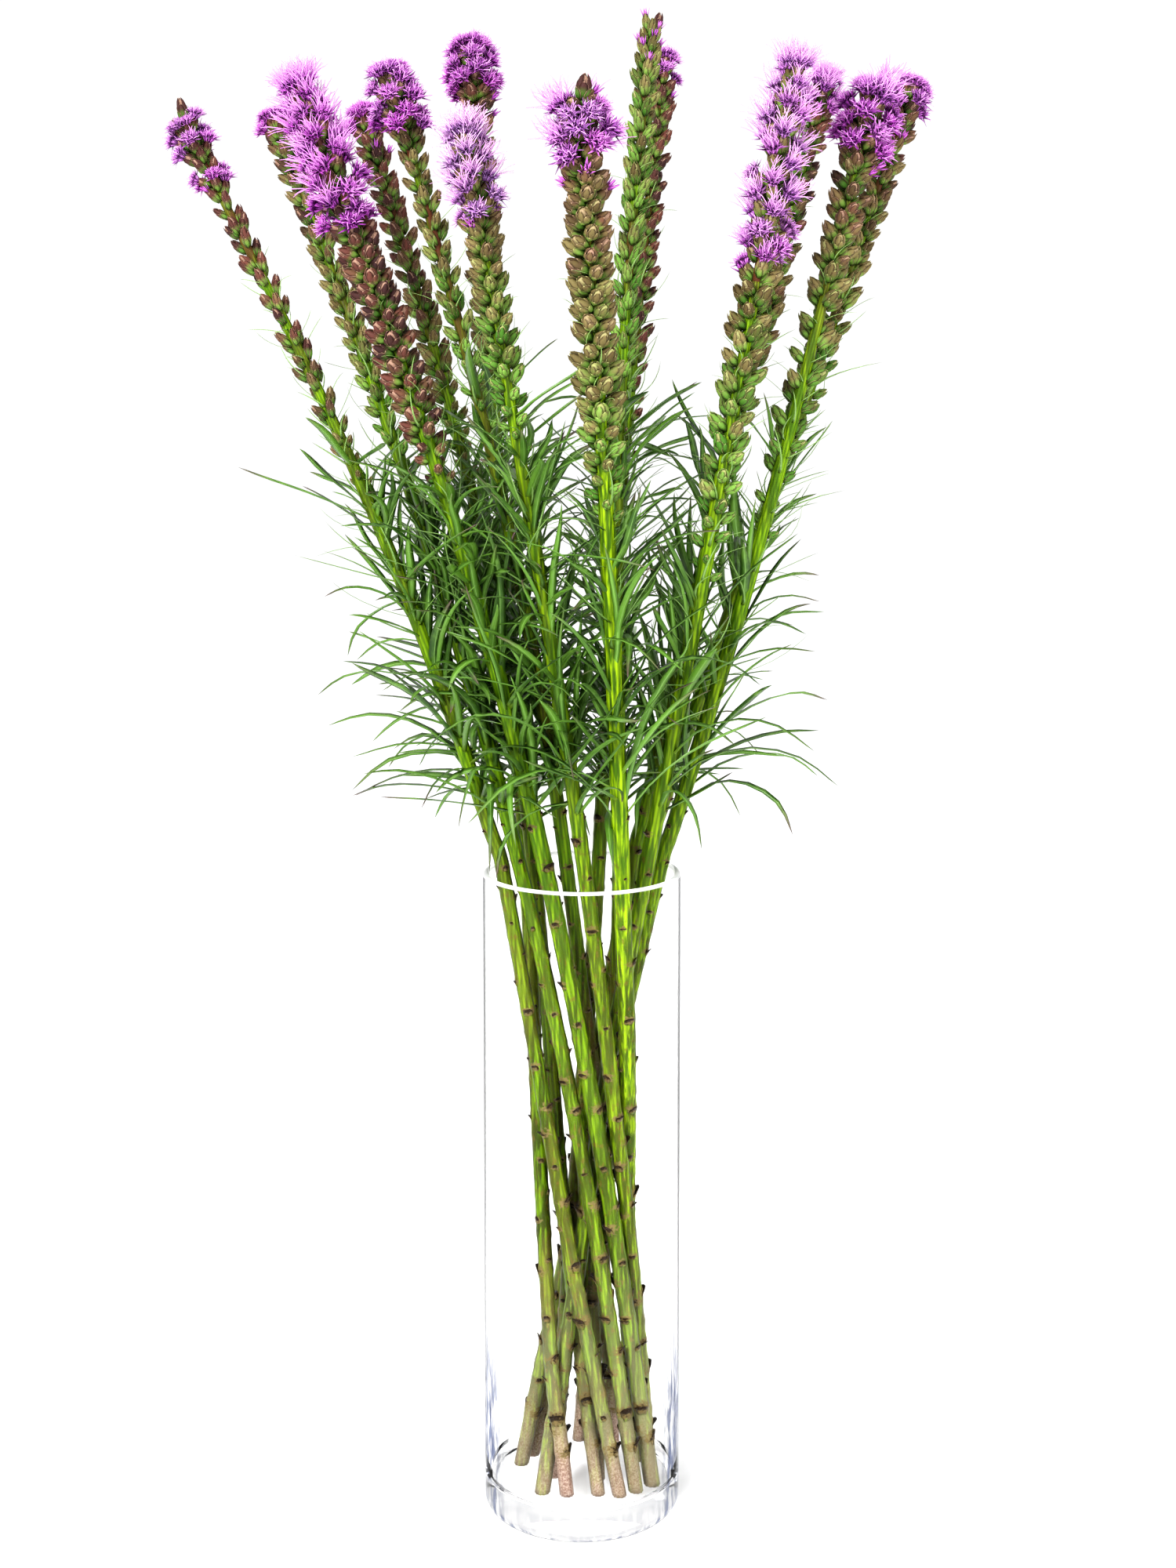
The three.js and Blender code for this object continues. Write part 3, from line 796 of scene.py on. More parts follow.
def place_first_leaves():
    placed = []
    for index, stem in enumerate(STEMS):
        draw = make_draw(FIRST_LEAVES_SEED + index)
        for n in range(stem.leaves):
            height = (n + 0.5) / stem.leaves
            base = LEAF_LOWEST + (stem.buds[0] - LEAF_TOP_GAP - LEAF_LOWEST) * height
            for attempt in range(LEAF_TRIES):
                leaf = draw_leaf(index, n, height, base, attempt, draw)
                samples = samples_of(leaf["points"])
                if not clear_of_stems(index, samples, LEAF_CLEARANCE / 2):
                    continue
                if clear_of_leaves(index, samples, placed):
                    placed.append(leaf)
                    break
    return placed


# %% More leaves between the first ones
MORE_LEAVES_TRIES = 8
MORE_LEAVES_FIRST_TURN = 1.1
MORE_LEAVES_SEED = 1200
MORE_LEAVES_PAST_BUDS = 10
MORE_LEAVES_GAP = 0.5


def place_more_leaves():
    placed = []
    for index, stem in enumerate(STEMS):
        draw = make_draw(MORE_LEAVES_SEED + index)
        for n in range(stem.more_leaves):
            height = (n + 0.5) / stem.more_leaves
            base = LEAF_LOWEST + (stem.buds[0] + MORE_LEAVES_PAST_BUDS - LEAF_LOWEST) * height
            for attempt in range(MORE_LEAVES_TRIES):
                leaf = draw_leaf(index, n + MORE_LEAVES_FIRST_TURN, height, base, attempt, draw)
                leaf["length"] *= 0.42 + 0.63 * draw()
                leaf["steepness"] += 1.5 * (draw() - 0.5) + 0.7 * stem.hug
                leaf["droop"] *= (0.05 + 1.1 * draw()) * (1 - 0.6 * stem.hug)
                leaf["sweep"] = 1.9 * (draw() - 0.5)
                leaf["width"] *= 0.8 + 0.75 * draw()
                leaf["points"] = leaf_points(index, leaf)
                if clear_of_stems(index, samples_of(leaf["points"]), MORE_LEAVES_GAP):
                    placed.append(leaf)
                    break
    return placed


# %% Leaf blades
LEAF_SECTION = ((-1, 0.3), (0, -0.1), (1, 0.3), (0, -0.55))
LEAF_STATIONS = [(0, 0.62, 1), (0.1, 0.8, 1), (0.22, 0.95, 0.9), (0.36, 1, 0.85), (0.5, 0.97, 0.8),
                 (0.63, 0.86, 0.75), (0.75, 0.68, 0.7), (0.86, 0.45, 0.6), (0.94, 0.24, 0.5), (1, 0, 0)]
BLADE = strand(LEAF_SECTION, LEAF_STATIONS, LEAF)
LEAF_THICKNESS = 1.3
LEAF_TWIST = 1.5
LOOK_AHEAD = 0.02


def lay_leaf(heap, leaf, draw):
    """Bends the straight blade to the leaf's line, with some twist and a slight wave."""
    x, y, v = BLADE[1].T
    knots = np.linspace(0, 1, LEAF_SEGMENTS + 1)
    line = [smooth_value(knots, leaf["points"][:, axis], v) for axis in range(3)]
    ahead = [smooth_value(knots, leaf["points"][:, axis], v + LOOK_AHEAD) for axis in range(3)]
    centre = np.stack(line, axis=-1)
    along = unit(np.stack(ahead, axis=-1) - centre)
    heading = leaf["facing"] + leaf["sweep"] * v
    flat = np.stack([-np.sin(heading), np.cos(heading), np.zeros(len(v))], axis=-1)
    upper = unit(np.cross(along, flat))
    flat = np.cross(upper, along)
    twist = draw.uniform(-LEAF_TWIST, LEAF_TWIST) * v * v
    side = flat * np.cos(twist)[:, None] + upper * np.sin(twist)[:, None]
    upper = upper * np.cos(twist)[:, None] - flat * np.sin(twist)[:, None]
    wave = draw.uniform(0.3, 2.6) * np.sin(v * draw.uniform(4, 9) + draw.uniform(0, 6)) * v
    half = leaf["width"] / 2
    points = centre + side * (x * half + wave)[:, None] + upper * (y * LEAF_THICKNESS)[:, None]
    heap.put(BLADE, points, shade=draw.random(), ripeness=draw.random() ** 2)


# %% [markdown]
# Buds
#
# A bud is a small egg wrapped in overlapping scales with a pale fringe. Its look from a step away
# comes from the scales' shadows and rims, so they are real: a core with three rings of three
# scales, each a hollow strand wrapped close round the egg. The lowest are short and green, and the
# highest close over the top. A second pattern is a bud that has just broken, with a purple plug.

# %% Bud patterns
EGG_WIDTH = 0.23
THIRD_TURN = 2.1
BUD_CORE = 0.94
CUP_CORE = 0.84
CORE_WIDTH = EGG_WIDTH * 0.8
# A row for each ring of three scales: turn, height of the foot, length, half angle, lift.
BUD_RINGS = ((0, 0.0, 0.5, 0.85, 0.045), (1.05, 0.06, 0.68, 0.85, 0.026), (0.2, 0.2, 0.8, 0.95, 0.01))
CUP_RINGS = ((0, 0.0, 0.55, 0.9, 0.045), (1.05, 0.1, 0.72, 0.9, 0.03))
PLUG_LOBES = 9
PLUG_TURN = 0.6981


def egg_radius(h):
    """The bud's outline at a height from 0 to 1: a narrow foot and a blunt top."""
    return EGG_WIDTH * np.sin(math.pi * (0.08 + 0.88 * np.clip(h, 0, 1))) ** 0.62


SCALE_SECTION = ((-1, 0), (1, 0), (0, 1))
SCALE_STATIONS = [(0, 0.85, 1), (0.5, 1, 1), (0.82, 0.78, 0.8), (1, 0.12, 0.3)]
SHEATH = strand(SCALE_SECTION, SCALE_STATIONS, SCALE)


def wrap_scale(heap, turn, foot, length, half_angle, lift):
    """Wraps one scale round the egg, from its foot height over its length."""
    x, y, v = SHEATH[1].T
    h = foot + length * v
    radius = egg_radius(h) + lift * (1 - 0.5 * v) + 0.035 * y
    angle = turn + half_angle * x
    heap.put(SHEATH, np.stack([np.cos(angle) * radius, np.sin(angle) * radius, h], axis=-1), scar=h)


def add_core(heap, top):
    bm = new_bmesh()
    bmesh.ops.create_uvsphere(bm, u_segments=6, v_segments=5, radius=1)
    for face in bm.faces:
        face.smooth = True
        face.material_index = SCALE
    core = pattern_from(bm)
    heap.put(core, core[1] * (CORE_WIDTH, CORE_WIDTH, top / 2) + (0, 0, top / 2), scar=0.8)


def wrap_rings(heap, rings):
    for n in range(3):
        for turn, *shape in rings:
            wrap_scale(heap, THIRD_TURN * n + turn, *shape)


def bud_pattern(plug=False):
    heap = Heap()
    add_core(heap, BUD_CORE)
    wrap_rings(heap, BUD_RINGS)
    for n in range(PLUG_LOBES) if plug else []:
        step = n % 3
        points = lobe_points(PLUG_TURN * n, 0.03 + 0.04 * step, 0.8, 0.42, 0.08, 0.05 + 0.1 * step)
        heap.put(LOBE, points, shade=0.4 * step)
    return heap.as_pattern()


# %% [markdown]
# Florets
#
# An opened tuft is a cup of the same scales with a dozen florets standing out of it.
# Each floret is a slim tube that ends in five narrow lobes, and out of it come two long pale
# styles that curl away. They are far too fine to model one by one on the spike, so six whole
# tufts are made as patterns, three trimmed and three that trail long threads, each with its own
# draw, and these are copied and turned.

# %% Tuft patterns
LOBE = strand(((-1, 0), (1, 0), (0, 0.5)), [(0, 1, 1), (1, 0.12, 0.2)], PETAL)
TUBE = strand([(math.cos(a), math.sin(a)) for a in np.arange(4) * 1.5708], [(0, 0.6, 0.6), (1, 1, 1)], PETAL)
STYLE = strand(((-0.87, -0.5), (0.87, -0.5), (0, 1)),
               [(0, 1, 1), (0.4, 0.9, 0.9), (0.75, 0.8, 0.8), (1, 0.5, 0.5)], THREAD)


def turned(turn, away, aside):
    """Where a distance away and one aside come to at a turn."""
    return math.cos(turn) * away - math.sin(turn) * aside, math.sin(turn) * away + math.cos(turn) * aside


def lobe_points(turn, out, height, length, half_width, lean_out):
    """A petal lobe that starts a little way out from an axis and leans away from it."""
    x, y, v = LOBE[1].T
    away = out + lean_out * v * length * 2 + 0.02 * y
    up = height + v * length * math.cos(lean_out)
    return np.stack([*turned(turn, away, x * half_width), up], axis=-1)


def tilt_matrix(turn, lean):
    """Rows that carry local side, back and up to a direction that leans away by lean."""
    out = np.array([math.cos(turn), math.sin(turn), 0])
    up = out * math.sin(lean) + np.array([0, 0, math.cos(lean)])
    side = np.array([-math.sin(turn), math.cos(turn), 0])
    return np.stack([side, np.cross(up, side), up])


FLORETS_IN_TUFT = 14
RING_TURNS = (2.094, 1.257, 1.047)
RING_LEANS = (0.06, 0.22, 0.46)
RING_PLACES = (0.03, 0.08, 0.14)
FLORET_LENGTH = 0.3
FLORET_RADIUS = 0.045
LOBE_LENGTH = 0.26
LOBE_HALF_WIDTH = 0.06
LOBE_OUT = FLORET_RADIUS * 0.8
LOBE_FOOT = FLORET_LENGTH * 0.97
SHORT_STYLE = 0.55
LONG_STYLE = 1.15
STYLE_RADIUS = 0.026
STYLE_FOOT = FLORET_LENGTH * 0.8
CUP_MOUTH = 0.76
FULL_TURN = 6.283
FIFTH_TURN = 1.2566


def add_floret(heap, foot, axes, style_length, draw):
    shade = draw.random()
    heap.put(TUBE, foot + (TUBE[1] * (FLORET_RADIUS, FLORET_RADIUS, FLORET_LENGTH)) @ axes, shade=shade)
    for n in range(5):
        lean = draw.uniform(0.35, 0.8)
        lobe = lobe_points(FIFTH_TURN * n, LOBE_OUT, LOBE_FOOT, LOBE_LENGTH, LOBE_HALF_WIDTH, lean)
        heap.put(LOBE, foot + lobe @ axes, shade=shade)
    for _ in range(2):
        add_style(heap, foot + STYLE_FOOT * axes[2], axes, style_length, draw)


def add_style(heap, foot, axes, style_length, draw):
    """A fine thread that leaves straight, then bends over in its own direction."""
    x, y, v = STYLE[1].T
    turn = draw.uniform(0, FULL_TURN)
    bend = draw.uniform(0.1, 0.6)
    curl = draw.uniform(-0.25, 0.25)
    length = style_length * draw.uniform(0.6, 1.0)
    right, back = turned(turn, length * bend * v * v, length * curl * v * v * v)
    up = length * v * (1 - 0.3 * bend * v)
    local = np.stack([x * STYLE_RADIUS + right, y * STYLE_RADIUS + back, up], axis=-1)
    heap.put(STYLE, foot + local @ axes, shade=draw.random())


def tuft_pattern(seed, style_length, splay):
    """Splay is how far the outer florets lean away."""
    draw = random.Random(seed)
    heap = Heap()
    add_core(heap, CUP_CORE)
    wrap_rings(heap, CUP_RINGS)
    for n in range(FLORETS_IN_TUFT):
        ring = 0 if n < 3 else 1 if n < 8 else 2
        turn = RING_TURNS[ring] * n + draw.uniform(-0.3, 0.3)
        axes = tilt_matrix(turn, splay * (RING_LEANS[ring] + draw.uniform(0, 0.2)))
        foot = np.array([*turned(turn, RING_PLACES[ring], 0), CUP_MOUTH])
        add_floret(heap, foot, axes, style_length, draw)
    return heap.as_pattern()


BUD = bud_pattern()
BREAKING_BUD = bud_pattern(plug=True)
TRIMMED_TUFTS = [tuft_pattern(seed, SHORT_STYLE, 1.0) for seed in (11, 12, 13)]
TRAILING_TUFTS = [tuft_pattern(seed, LONG_STYLE, 0.7) for seed in (14, 15, 16)]
print("faces in a bud", len(BUD[0].polygons), "and in a tuft", len(TRIMMED_TUFTS[0][0].polygons))

# %% [markdown]
# Setting the buds and tufts
#
# Buds sit in a tight spiral, each turned from the last by the golden angle. They lean out just far
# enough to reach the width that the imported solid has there. The lowest ones are small and green
# and stand apart, and those nearest the head are the fattest and ripest. The same spiral runs on
# through the head, where each place holds an opened tuft, a breaking bud or a closed one.

# %% Spikes
BUD_STRETCH_BELOW = 14
BUD_CLEAR_OF_HEAD = -4
BUD_SCATTER = 1.4
BUD_CROWDING = 0.78
BUD_LEANS = (0.22, 0.8)
BUD_SINK = 0.6
BUD_PLUMPNESS = (0.84, 1.18)
PARTED_BELOW = 745
PARTED_FRONT = -0.55


def clamp(value, low, high):
    return min(high, max(low, value))


def bud_length(reach):
    return 0.33 * reach + 9.3


def plumpness(reach):
    """Slim spikes carry slim buds."""
    return clamp(0.35 + 0.05 * reach, *BUD_PLUMPNESS)


def bud_pitch(reach):
    """Millimetres of stalk from one bud to the next: a slim spike is a looser one."""
    return 4.9 - 0.175 * reach


def spiral(start, stop, pitch):
    """Heights and turn numbers of the places in a spiral."""
    count = max(1, int((stop - start) / pitch))
    return [(start + (n + 0.5) * (stop - start) / count, n) for n in range(count)]


def lay_bud(heap, pattern, index, z, turn, length, reach, **marks):
    """Lays a bud that leans out far enough for its end to come near the reach."""
    out = reach - float(stalk_radius(STEMS[index], z)) - 0.2 * length
    lean = math.asin(clamp(out / (0.85 * length), *BUD_LEANS))
    foot, axes = place_on_stem(index, z - 0.4 * length, turn, lean, BUD_SINK)
    plump = plumpness(STEMS[index].buds[1])
    heap.put(pattern, foot + length * ((pattern[1] * (plump, plump, 1)) @ axes), **marks)


def bare_in_front(stem, z, turn):
    """Some spikes part in front, so that their stalk shows between two banks of buds."""
    return stem.parted and z < PARTED_BELOW and math.sin(turn) < PARTED_FRONT


def lay_buds(heap, index, draw):
    """The lowest buds stand far apart, and higher up they close ranks."""
    stem = STEMS[index]
    start, reach = stem.buds
    stop = stem.head[0] - BUD_CLEAR_OF_HEAD
    full = bud_length(reach)
    bottom = start - BUD_STRETCH_BELOW
    for level, n in spiral(bottom, stop, bud_pitch(reach) * stem.loose):
        turn = GOLDEN_ANGLE * n + draw.uniform(-0.2, 0.2)
        z = bottom + (stop - bottom) * ((level - bottom) / (stop - bottom)) ** BUD_CROWDING
        z += draw.uniform(-1, 1) * BUD_SCATTER + stem.clumps * math.sin(0.3 * z)
        if bare_in_front(stem, z, turn):
            continue
        share = (z - start) / (stop - start)
        grown = min(1.0, 0.5 + 1.3 * (share + 0.1)) * draw.uniform(0.84, 1.08)
        low, high = stem.ripe
        ripeness = low + (high - low) * clamp(share, 0.0, 1.0) + draw.uniform(-0.15, 0.1)
        breaking = share > 0.94 and draw.random() < stem.opened * 0.3
        lay_bud(
            heap, BREAKING_BUD if breaking else BUD, index, z, turn, full * grown,
            reach * (0.75 + 0.25 * grown) * draw.uniform(0.92, 1.1),
            ripeness=ripeness, shade=draw.random(), pale=0.1,
        )


# %% Heads
HEAD_FOOT_GAP = 3
HEAD_TIP_GAP = 8
TUFT_LEANS = (0.15, 0.82)
CAPPED_FRONT = -0.4
CAPPED_FRONT_SIZE = 0.93
CAP_LENGTH = 15
CAP_REACH = 3


def head_share(stem, z):
    """How high a place is in the head, from 0 at its foot to 1 at the tip."""
    return (z - stem.head[0]) / (stem.tip[2] - stem.head[0])


def head_outline(stem, z):
    """How far the head reaches from the stem's middle: less at the freshly opened foot and the tip."""
    share = head_share(stem, z)
    fresh = min(1.0, 0.72 + 0.9 * share)
    return stem.head[1] * fresh * math.sqrt(max(0.05, 1 - 0.5 * share**6))


def lay_tuft(heap, index, z, turn, reach, upright, draw):
    """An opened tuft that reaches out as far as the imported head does. The high ones trail threads.

    In front, a capped head's tufts are shorter and trail none.
    """
    stem = STEMS[index]
    share = head_share(stem, z)
    in_front = stem.capped and math.sin(turn) < CAPPED_FRONT
    trailing = draw.random() < stem.threads * (0.3 + 1.4 * share) and not in_front
    patterns, filled, length = (TRAILING_TUFTS, 0.85, 1.7) if trailing else (TRIMMED_TUFTS, 1.05, 1.4)
    size = (0.42 * reach + 6.6) * draw.uniform(0.9, 1.1) * (CAPPED_FRONT_SIZE if in_front else 1.0)
    out = filled * reach - float(stalk_radius(stem, z))
    lean = math.asin(clamp(out / (length * size), *TUFT_LEANS)) * draw.uniform(0.9, 1.1)
    foot, axes = place_on_stem(index, z - 0.6 * size, turn, lean * (1 - 0.8 * upright), BUD_SINK)
    pattern = draw.choice(patterns)
    pale = clamp(stem.pale + 0.3 * (share - 0.4) + draw.uniform(-0.2, 0.2), 0.0, 1.0)
    points = foot + size * (pattern[1] @ axes)
    heap.put(pattern, points, ripeness=stem.ripe[1], shade=draw.random(), pale=pale)


def lay_head(heap, index, draw):
    """Blazing star opens from the top down, so the lowest places may still be closed."""
    stem = STEMS[index]
    start, stop = stem.head[0] + HEAD_FOOT_GAP, stem.tip[2] - HEAD_TIP_GAP
    for z, n in spiral(start, stop, stem.apart):
        share = (z - start) / (stop - start)
        reach = head_outline(stem, z)
        turn = GOLDEN_ANGLE * n + draw.uniform(-0.3, 0.3)
        shut = any(low < share < high for low, high in stem.closed)
        chance = 0.5 + 4 * (share - 1 + stem.opened)
        if not shut and draw.random() < chance:
            lay_tuft(heap, index, z, turn, reach, 0.0 if stem.capped else 0.8 * share**6, draw)
        else:
            bud_reach = min(reach, stem.buds[1]) * (1.12 - 0.4 * share)
            breaking = draw.random() < (0.3 if stem.opened > 0 else 0.1 + 0.5 * share)
            lay_bud(heap, BREAKING_BUD if breaking else BUD, index, z, turn, bud_length(bud_reach),
                    bud_reach, ripeness=stem.ripe[1], shade=draw.random(), pale=0.2)
    close_tip(heap, index, stop, draw)


def close_tip(heap, index, stop, draw):
    """The highest tufts crowd over the tip, or round the closed bud that caps it."""
    stem = STEMS[index]
    wide = stem.head[1]
    rings = [(5, stop, 0.75 * wide, 0.45), (3, stop, 0.3 * wide + 3, 0.85)]
    if stem.capped:
        cap_height = stop + (4 if stem.opened > 0 else -2)
        lay_bud(heap, BUD, index, cap_height, 0.0, CAP_LENGTH, CAP_REACH, ripeness=0.9, shade=0.2)
        rings = [(6, stop - 0.25 * wide, 0.66 * wide, 0.1)]
    for count, z, reach, upright in rings if stem.opened > 0 else []:
        for n in range(count):
            lay_tuft(heap, index, z, FULL_TURN * n / count, reach, upright, draw)


# %% [markdown]
# Bracts
#
# Between the leaves and the buds each small bud is held by a bract: a narrow leaf low down, a fine
# pale thread higher up, standing out and curling. They are the leaves' strand again, only thinner.

# %% Bracts
BRACT_STATIONS = [(n / 6, 1 - 0.8 * n / 6, 1) for n in range(6)] + [(1, 0, 0)]
BRACT = strand(((-1, 0), (1, 0), (0, 0.7)), BRACT_STATIONS, LEAF)
BRACTS = 60
BRACTS_BELOW_BUDS = 100
BRACTS_UP_TO = 0.85
BRACT_LENGTHS = (26, 70)
BRACT_SINK = 0.8


def lay_bracts(heap, index, draw):
    stem = STEMS[index]
    start = stem.buds[0] - BRACTS_BELOW_BUDS
    x, y, v = BRACT[1].T
    for n in range(BRACTS):
        share = (n + draw.random()) / BRACTS
        z = start + (stem.head[0] - start) * BRACTS_UP_TO * share
        turn = GOLDEN_ANGLE * n + draw.uniform(-0.4, 0.4)
        foot, axes = place_on_stem(index, z, turn, draw.uniform(0.5, 1.2), BRACT_SINK)
        length = draw.uniform(*BRACT_LENGTHS) * (1 - 0.72 * share)
        half = 1.3 - 0.7 * share
        bend, curl = draw.uniform(-1.0, 0.5), draw.uniform(-0.7, 0.7)
        aside = x * half + length * curl * v * v
        outward = y * 0.35 - length * bend * v * v * 0.5
        local = np.stack([aside, outward, length * v * (1 - 0.2 * v)], axis=-1)
        pale = min(1.0, 0.25 + share)
        heap.put(BRACT, foot + local @ axes, shade=draw.random(), ripeness=0.4 * draw.random(), pale=pale)


# %% [markdown]
# Finishes of the plant
#
# Every finish is mixed from the strand's own UV map, from the marks on each copy, and from noise
# in object coordinates, which are in metres. Ribs and veins too fine for the mesh are bumps.

# %% Stalk skin
def stalk_skin():
    skin = Finish("stalk_skin")
    height = skin.height()
    streaks = skin.noise((420, 420, 12), 4.0)
    patches = skin.noise((60, 60, 14))
    fine = skin.noise(900.0)
    # Painted light: this green follows the shade mark, lighter on stalks in front and darker, as painted
    # shade, on those behind.
    bright = skin.shades("#729a0c", "#a6cc10")
    green = skin.over("#446e04", skin.fade(streaks, 0.4, 0.62), bright)
    green = skin.over(green, skin.fade(patches, 0.5, 0.85), bright)
    # Painted shade: the sunk corners between the ribs are painted a darker green.
    green = skin.over(green, skin.mark("groove"), "#2a4a04", 0.7)
    # Partly real, partly painted shade: below the rim the stalk is painted a darker olive, for its ageing in
    # the water and for the shade of the glass, which casts none here.
    aged_and_shaded = skin.times(skin.fade(height, 0.43, 0.33), skin.fade(patches, 0.15, 0.65))
    aged_and_shaded = skin.times(aged_and_shaded, skin.sum("MAXIMUM", skin.fade(streaks, 0.66, 0.44), 0.45))
    green = skin.over(green, aged_and_shaded, "#2c3802")
    specks = skin.fade(skin.noise((420, 420, 200), 2.0), 0.58, 0.7)
    green = skin.over(green, skin.times(specks, skin.fade(height, 0.45, 0.4)), "#5c4a1e", 0.7)
    # Painted reflection: the lowest stalks, behind the thick glass, are painted a paler beige, a painted
    # haze of the glass.
    green = skin.over(green, skin.fade(height, 0.2, 0.06), "#b4a88c", 0.2)
    flushed = skin.times(skin.fade(patches, 0.66, 0.42), skin.mark("ripeness"))
    green = skin.over(green, flushed, "#5a3420")
    foot = skin.fade(skin.plus(height, skin.times(patches, 0.08)), 0.13, 0.055)
    worn = skin.plus(0.22, skin.times(2.0, skin.mark("ripeness")))
    rosy = skin.over("#74584c", skin.fade(fine, 0.3, 0.7), "#a08e80")
    green = skin.over(green, skin.times(foot, worn), rosy)
    torn = skin.plus(skin.mark("scar"), skin.times(skin.noise((500, 500, 900), 2.0), 1.2))
    colour = skin.over(green, skin.fade(torn, 0.85, 1.05), "#665836")
    colour = skin.over(colour, skin.fade(torn, 1.15, 1.4), "#22160a")
    skin.surface(Base_Color=colour, Roughness=0.4, Specular_IOR_Level=0.15)
    skin.bump(skin.plus(streaks, skin.times(fine, 0.4)), 0.7, 0.0006)
    return skin.material


# %% Leaf, scale, petal and thread
def leaf_green():
    blade = Finish("leaf_green")
    across, along = blade.uv()
    green = blade.shades("#2e5018", "#689636")
    green = blade.over(green, blade.fade(blade.noise(90.0), 0.4, 0.75), "#648c34")
    green = blade.over(green, blade.mark("pale"), "#9cc070")
    green = blade.over(green, blade.fade(blade.off_middle(across), 0.09, 0.0), "#8fb866", 0.6)
    green = blade.over(green, blade.fade(along, 0.12, 0.0), "#8fae3a")
    tip = blade.times(blade.fade(along, 0.7, 1.0), blade.mark("ripeness"))
    colour = blade.over(green, tip, "#6b4a52")
    blade.surface(Base_Color=colour, Roughness=0.3, Specular_IOR_Level=0.42)
    blade.bump(blade.sum("SINE", blade.times(across, 60.0)), 0.4, 0.0002)
    return blade.material


def bud_scale():
    scale = Finish("bud_scale")
    across, along = scale.uv()
    mottle = scale.noise(260.0)
    ripeness = scale.plus(scale.mark("ripeness"), scale.times(mottle, 0.3))
    green = scale.shades("#437024", "#7ca448")
    body = scale.over(green, scale.fade(ripeness, 0.3, 0.6), scale.shades("#55482a", "#80744a"))
    body = scale.over(body, scale.fade(ripeness, 0.65, 1.0), scale.shades("#341f20", "#683e34"))
    body = scale.over(body, scale.fade(scale.mark("scar"), 0.6, 0.2), green, 0.9)
    # Painted shade: the foot of each scale, tucked in among the scales around it, is painted near black.
    body = scale.over(body, scale.fade(along, 0.35, 0.0), "#26220e", 0.7)
    off_middle = scale.off_middle(across)
    body = scale.over(body, scale.fade(off_middle, 0.22, 0.4), "#3c2620", 0.6)
    rim = scale.sum("MAXIMUM", scale.fade(off_middle, 0.43, 0.5), scale.fade(along, 0.92, 1.0))
    pale = scale.over("#b6b878", scale.fade(ripeness, 0.5, 0.9), "#b99480")
    colour = scale.over(body, rim, pale, 0.75)
    scale.surface(Base_Color=colour, Roughness=0.6, Specular_IOR_Level=0.15)
    scale.bump(mottle, 0.3, 0.0004)
    return scale.material


def floret_purple():
    petal = Finish("floret_purple")
    pale = petal.shades("#b684cc", "#e2b4ec")
    colour = petal.over(petal.shades("#ae2cb4", "#e466e2"), petal.mark("pale"), pale)
    colour = petal.over(colour, petal.noise(500.0), "#e8b8f2", 0.25)
    # Painted shade: each floret is painted deep purple towards its foot, deep inside the tuft.
    colour = petal.over(colour, petal.fade(petal.uv()[1], 0.8, 0.0), "#541458", 0.72)
    petal.surface(Base_Color=colour, Roughness=0.6, Specular_IOR_Level=0.1)
    return petal.material


def style_thread():
    thread = Finish("style_thread")
    end = thread.over("#de88de", thread.mark("pale"), "#eec0ea")
    colour = thread.over("#b44cc0", thread.fade(thread.uv()[1], 0.0, 0.5), end)
    colour = thread.over(colour, thread.noise(300.0), "#f0c6f0", 0.4)
    thread.surface(Base_Color=colour, Roughness=0.55, Specular_IOR_Level=0.2)
    return thread.material


FINISHES = [stalk_skin(), bud_scale(), leaf_green(), floret_purple(), style_thread()]

# %% [markdown]
# Dressing the stems
#
# Each stem becomes two pieces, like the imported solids: the leafy stem with its closed buds, and
# the purple head. Both run along the same line, so they stand exactly where the solids stand.

# %% Build every stem
first_leaves = place_first_leaves()
more_leaves = place_more_leaves()
print("leaves that follow the solids:", len(first_leaves), "and more between them:", len(more_leaves))
STALK_OVERLAP = 2
HEAD_STALK_GIRTH = 0.97
HEAD_STALK_BROWNER = 2.0
STALK_BELOW_TIP = 9
STEM_SEED = 40
HEAD_SEED = 90
total = 0
for index, stem in enumerate(STEMS):
    draw = random.Random(STEM_SEED + index)
    number = f"{index + 1:02d}"
    leafy = Heap()
    scars = scar_places(draw)
    lay_stalk(leafy, index, STALK_BOTTOM, stem.head[0], scars)
    lay_ledges(leafy, index, scars, draw)
    for leaf in first_leaves + more_leaves:
        if leaf["index"] == index:
            lay_leaf(leafy, leaf, draw)
    lay_buds(leafy, index, draw)
    lay_bracts(leafy, index, draw)
    piece = leafy.as_piece("leafy_stem_" + number, FINISHES, MM)
    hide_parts("stem_" + number)
    tufted = Heap()
    start, stop = stem.head[0] - STALK_OVERLAP, stem.tip[2] - STALK_BELOW_TIP
    lay_stalk(tufted, index, start, stop, [], HEAD_STALK_GIRTH, HEAD_STALK_BROWNER)
    lay_head(tufted, index, random.Random(HEAD_SEED + index))
    head = tufted.as_piece("purple_head_" + number, FINISHES, MM)
    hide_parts("flower_head_" + number)
    total += triangles(piece) + triangles(head)
    print("stem", number, "has", triangles(piece), "triangles, its head", triangles(head))
print("plant triangles:", total)

# %% [markdown]
# The vase
#
# The vase is one clear glass: a thin straight wall, a round melted lip, and a thick base with a
# rounded heel. Glass blowers turn it, and here its outline is turned too, with many more steps
# than the imported solid has, so the light bends evenly through it. Clear glass shows by its edges:
# they are tinted a little grey where the wall is seen edge on, the melted lip is painted a diffuse
# white as a painted highlight, the edges are a little diffuse as pale painted light, and fine
# streaks slant over the thick foot. The vase casts no shadow, so the lamps reach the stalks in it.

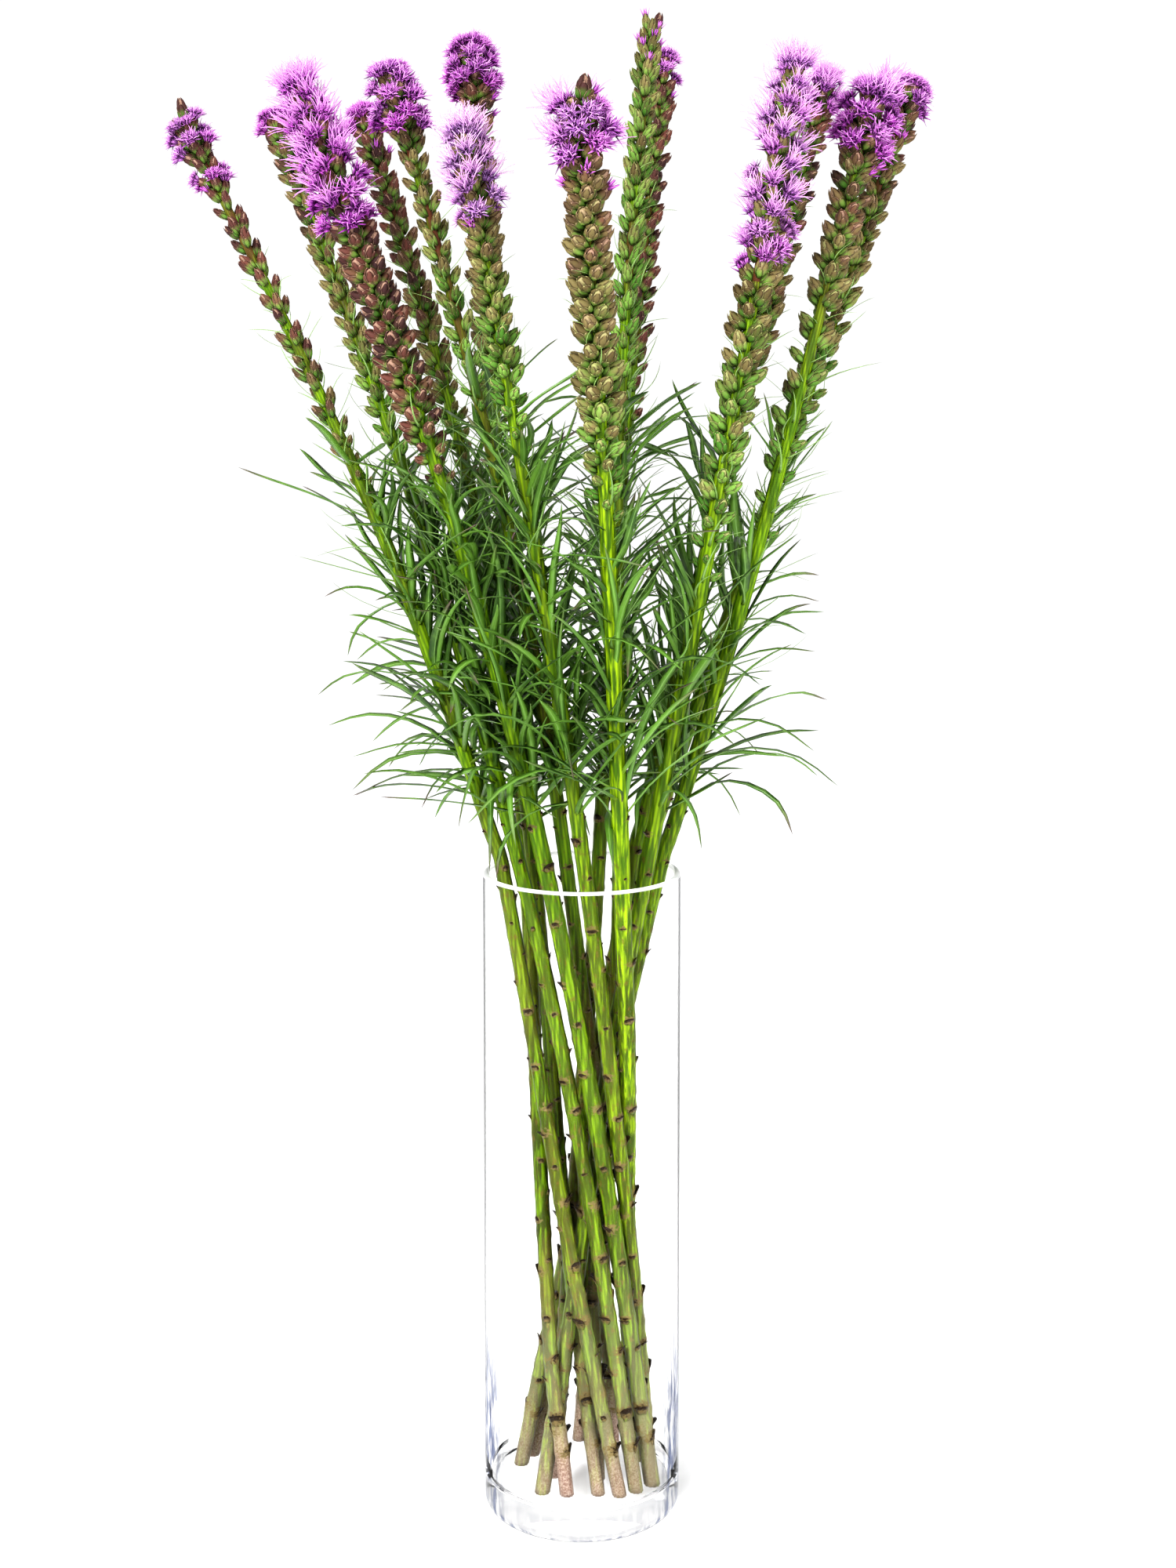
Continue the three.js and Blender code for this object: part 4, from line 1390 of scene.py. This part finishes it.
# %% Glass cylinder
HEEL_RADIUS = 10
FOOT_TOP = 25
INNER_CORNER = 5
VASE_STEPS = 96
ARC_STEPS = 8


def vase_outline():
    inner = VASE_RADIUS - VASE_WALL
    lip = VASE_WALL / 2
    arcs = [
        (VASE_RADIUS - HEEL_RADIUS, HEEL_RADIUS, HEEL_RADIUS, -90, 0),
        (VASE_RADIUS - lip, VASE_HEIGHT - lip, lip, 0, 180),
        (inner - INNER_CORNER, VASE_FLOOR + INNER_CORNER, INNER_CORNER, 0, -90),
    ]
    outline = []
    for x, z, radius, start, stop in arcs:
        for angle in np.radians(np.linspace(start, stop, ARC_STEPS + 1)):
            outline.append((x + radius * math.cos(angle), z + radius * math.sin(angle)))
    outline.insert(ARC_STEPS + 1, (VASE_RADIUS, FOOT_TOP))
    return [(0, 0)] + outline + [(0, VASE_FLOOR)]


WALL_BEND = 1.06
FOOT_BEND = 1.3
WALL_GREY = 0.6
FOOT_GREY = 0.7
OUTER_SKIN = (0.0565, 0.058)
LIP_FROM = 0.3979


def clear_glass(name, bend, edge_grey):
    """Bend is the index that the light is bent by, and edge_grey how grey the glass is edge on."""
    glass = Finish(name)
    height = glass.height()
    facing = glass.node("LayerWeight", Blend=0.5).outputs["Facing"]
    edge = glass.fade(facing, 0.75, 1.0)
    outside = glass.fade(glass.distance_from_axis(), *OUTER_SKIN)
    grey = glass.times(glass.times(edge, edge_grey), outside)
    grey = glass.times(grey, glass.fade(height, LIP_FROM, 0.396))
    streaks = glass.fade(glass.noise((230, 230, 60), 4.0, turn=(0.6, 0.6, 0)), 0.4, 0.6)
    sides = glass.times(glass.fade(height, 0.15, 0.07), glass.fade(facing, 0.38, 0.62))
    heavy = glass.times(glass.fade(height, 0.021, 0.017), 0.26)
    sides = glass.times(glass.sum("MAXIMUM", sides, heavy), outside)
    colour = glass.over("#ffffff", grey, "#a9adc0")
    colour = glass.over(colour, glass.times(sides, streaks), "#4a5478")
    lip = glass.fade(height, LIP_FROM, 0.3985)
    # Painted highlight: at the lip, and a little where the wall is seen edge on, the glass lets less light
    # through and shows its base colour as a diffuse skin, a bright line along the lip and pale lines at the
    # edges.
    painted_lip_and_edge_light = glass.plus(glass.times(lip, 0.5), glass.times(edge, 0.3))
    glass.surface(Base_Color=colour, Roughness=0.0)
    glass.surface(IOR=bend, Transmission_Weight=glass.sum("SUBTRACT", 1.0, painted_lip_and_edge_light))
    glass.bump(glass.noise((18, 18, 5)), 0.12, 0.001)
    return glass.material


def make_vase():
    bm = bmesh.new()
    verts = [bm.verts.new((x * MM, 0, z * MM)) for x, z in vase_outline()]
    edges = [bm.edges.new(pair) for pair in zip(verts, verts[1:])]
    bmesh.ops.spin(bm, geom=verts + edges, axis=(0, 0, 1), cent=(0, 0, 0), angle=2 * math.pi,
                   steps=VASE_STEPS, use_merge=True)
    bmesh.ops.remove_doubles(bm, verts=bm.verts, dist=WELD)
    bmesh.ops.recalc_face_normals(bm, faces=bm.faces)
    for face in bm.faces:
        face.smooth = True
        face.material_index = int(face.calc_center_median().z < FOOT_TOP * MM)
    mesh = mesh_from(bm, "glass_vase")
    mesh.materials.append(clear_glass("clear_glass", WALL_BEND, WALL_GREY))
    mesh.materials.append(clear_glass("thick_foot_glass", FOOT_BEND, FOOT_GREY))
    vase = add_object("glass_vase", mesh)
    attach(vase, "root")
    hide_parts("vase")
    vase.visible_shadow = False
    return vase


vase = make_vase()
print("vase triangles:", triangles(vase))
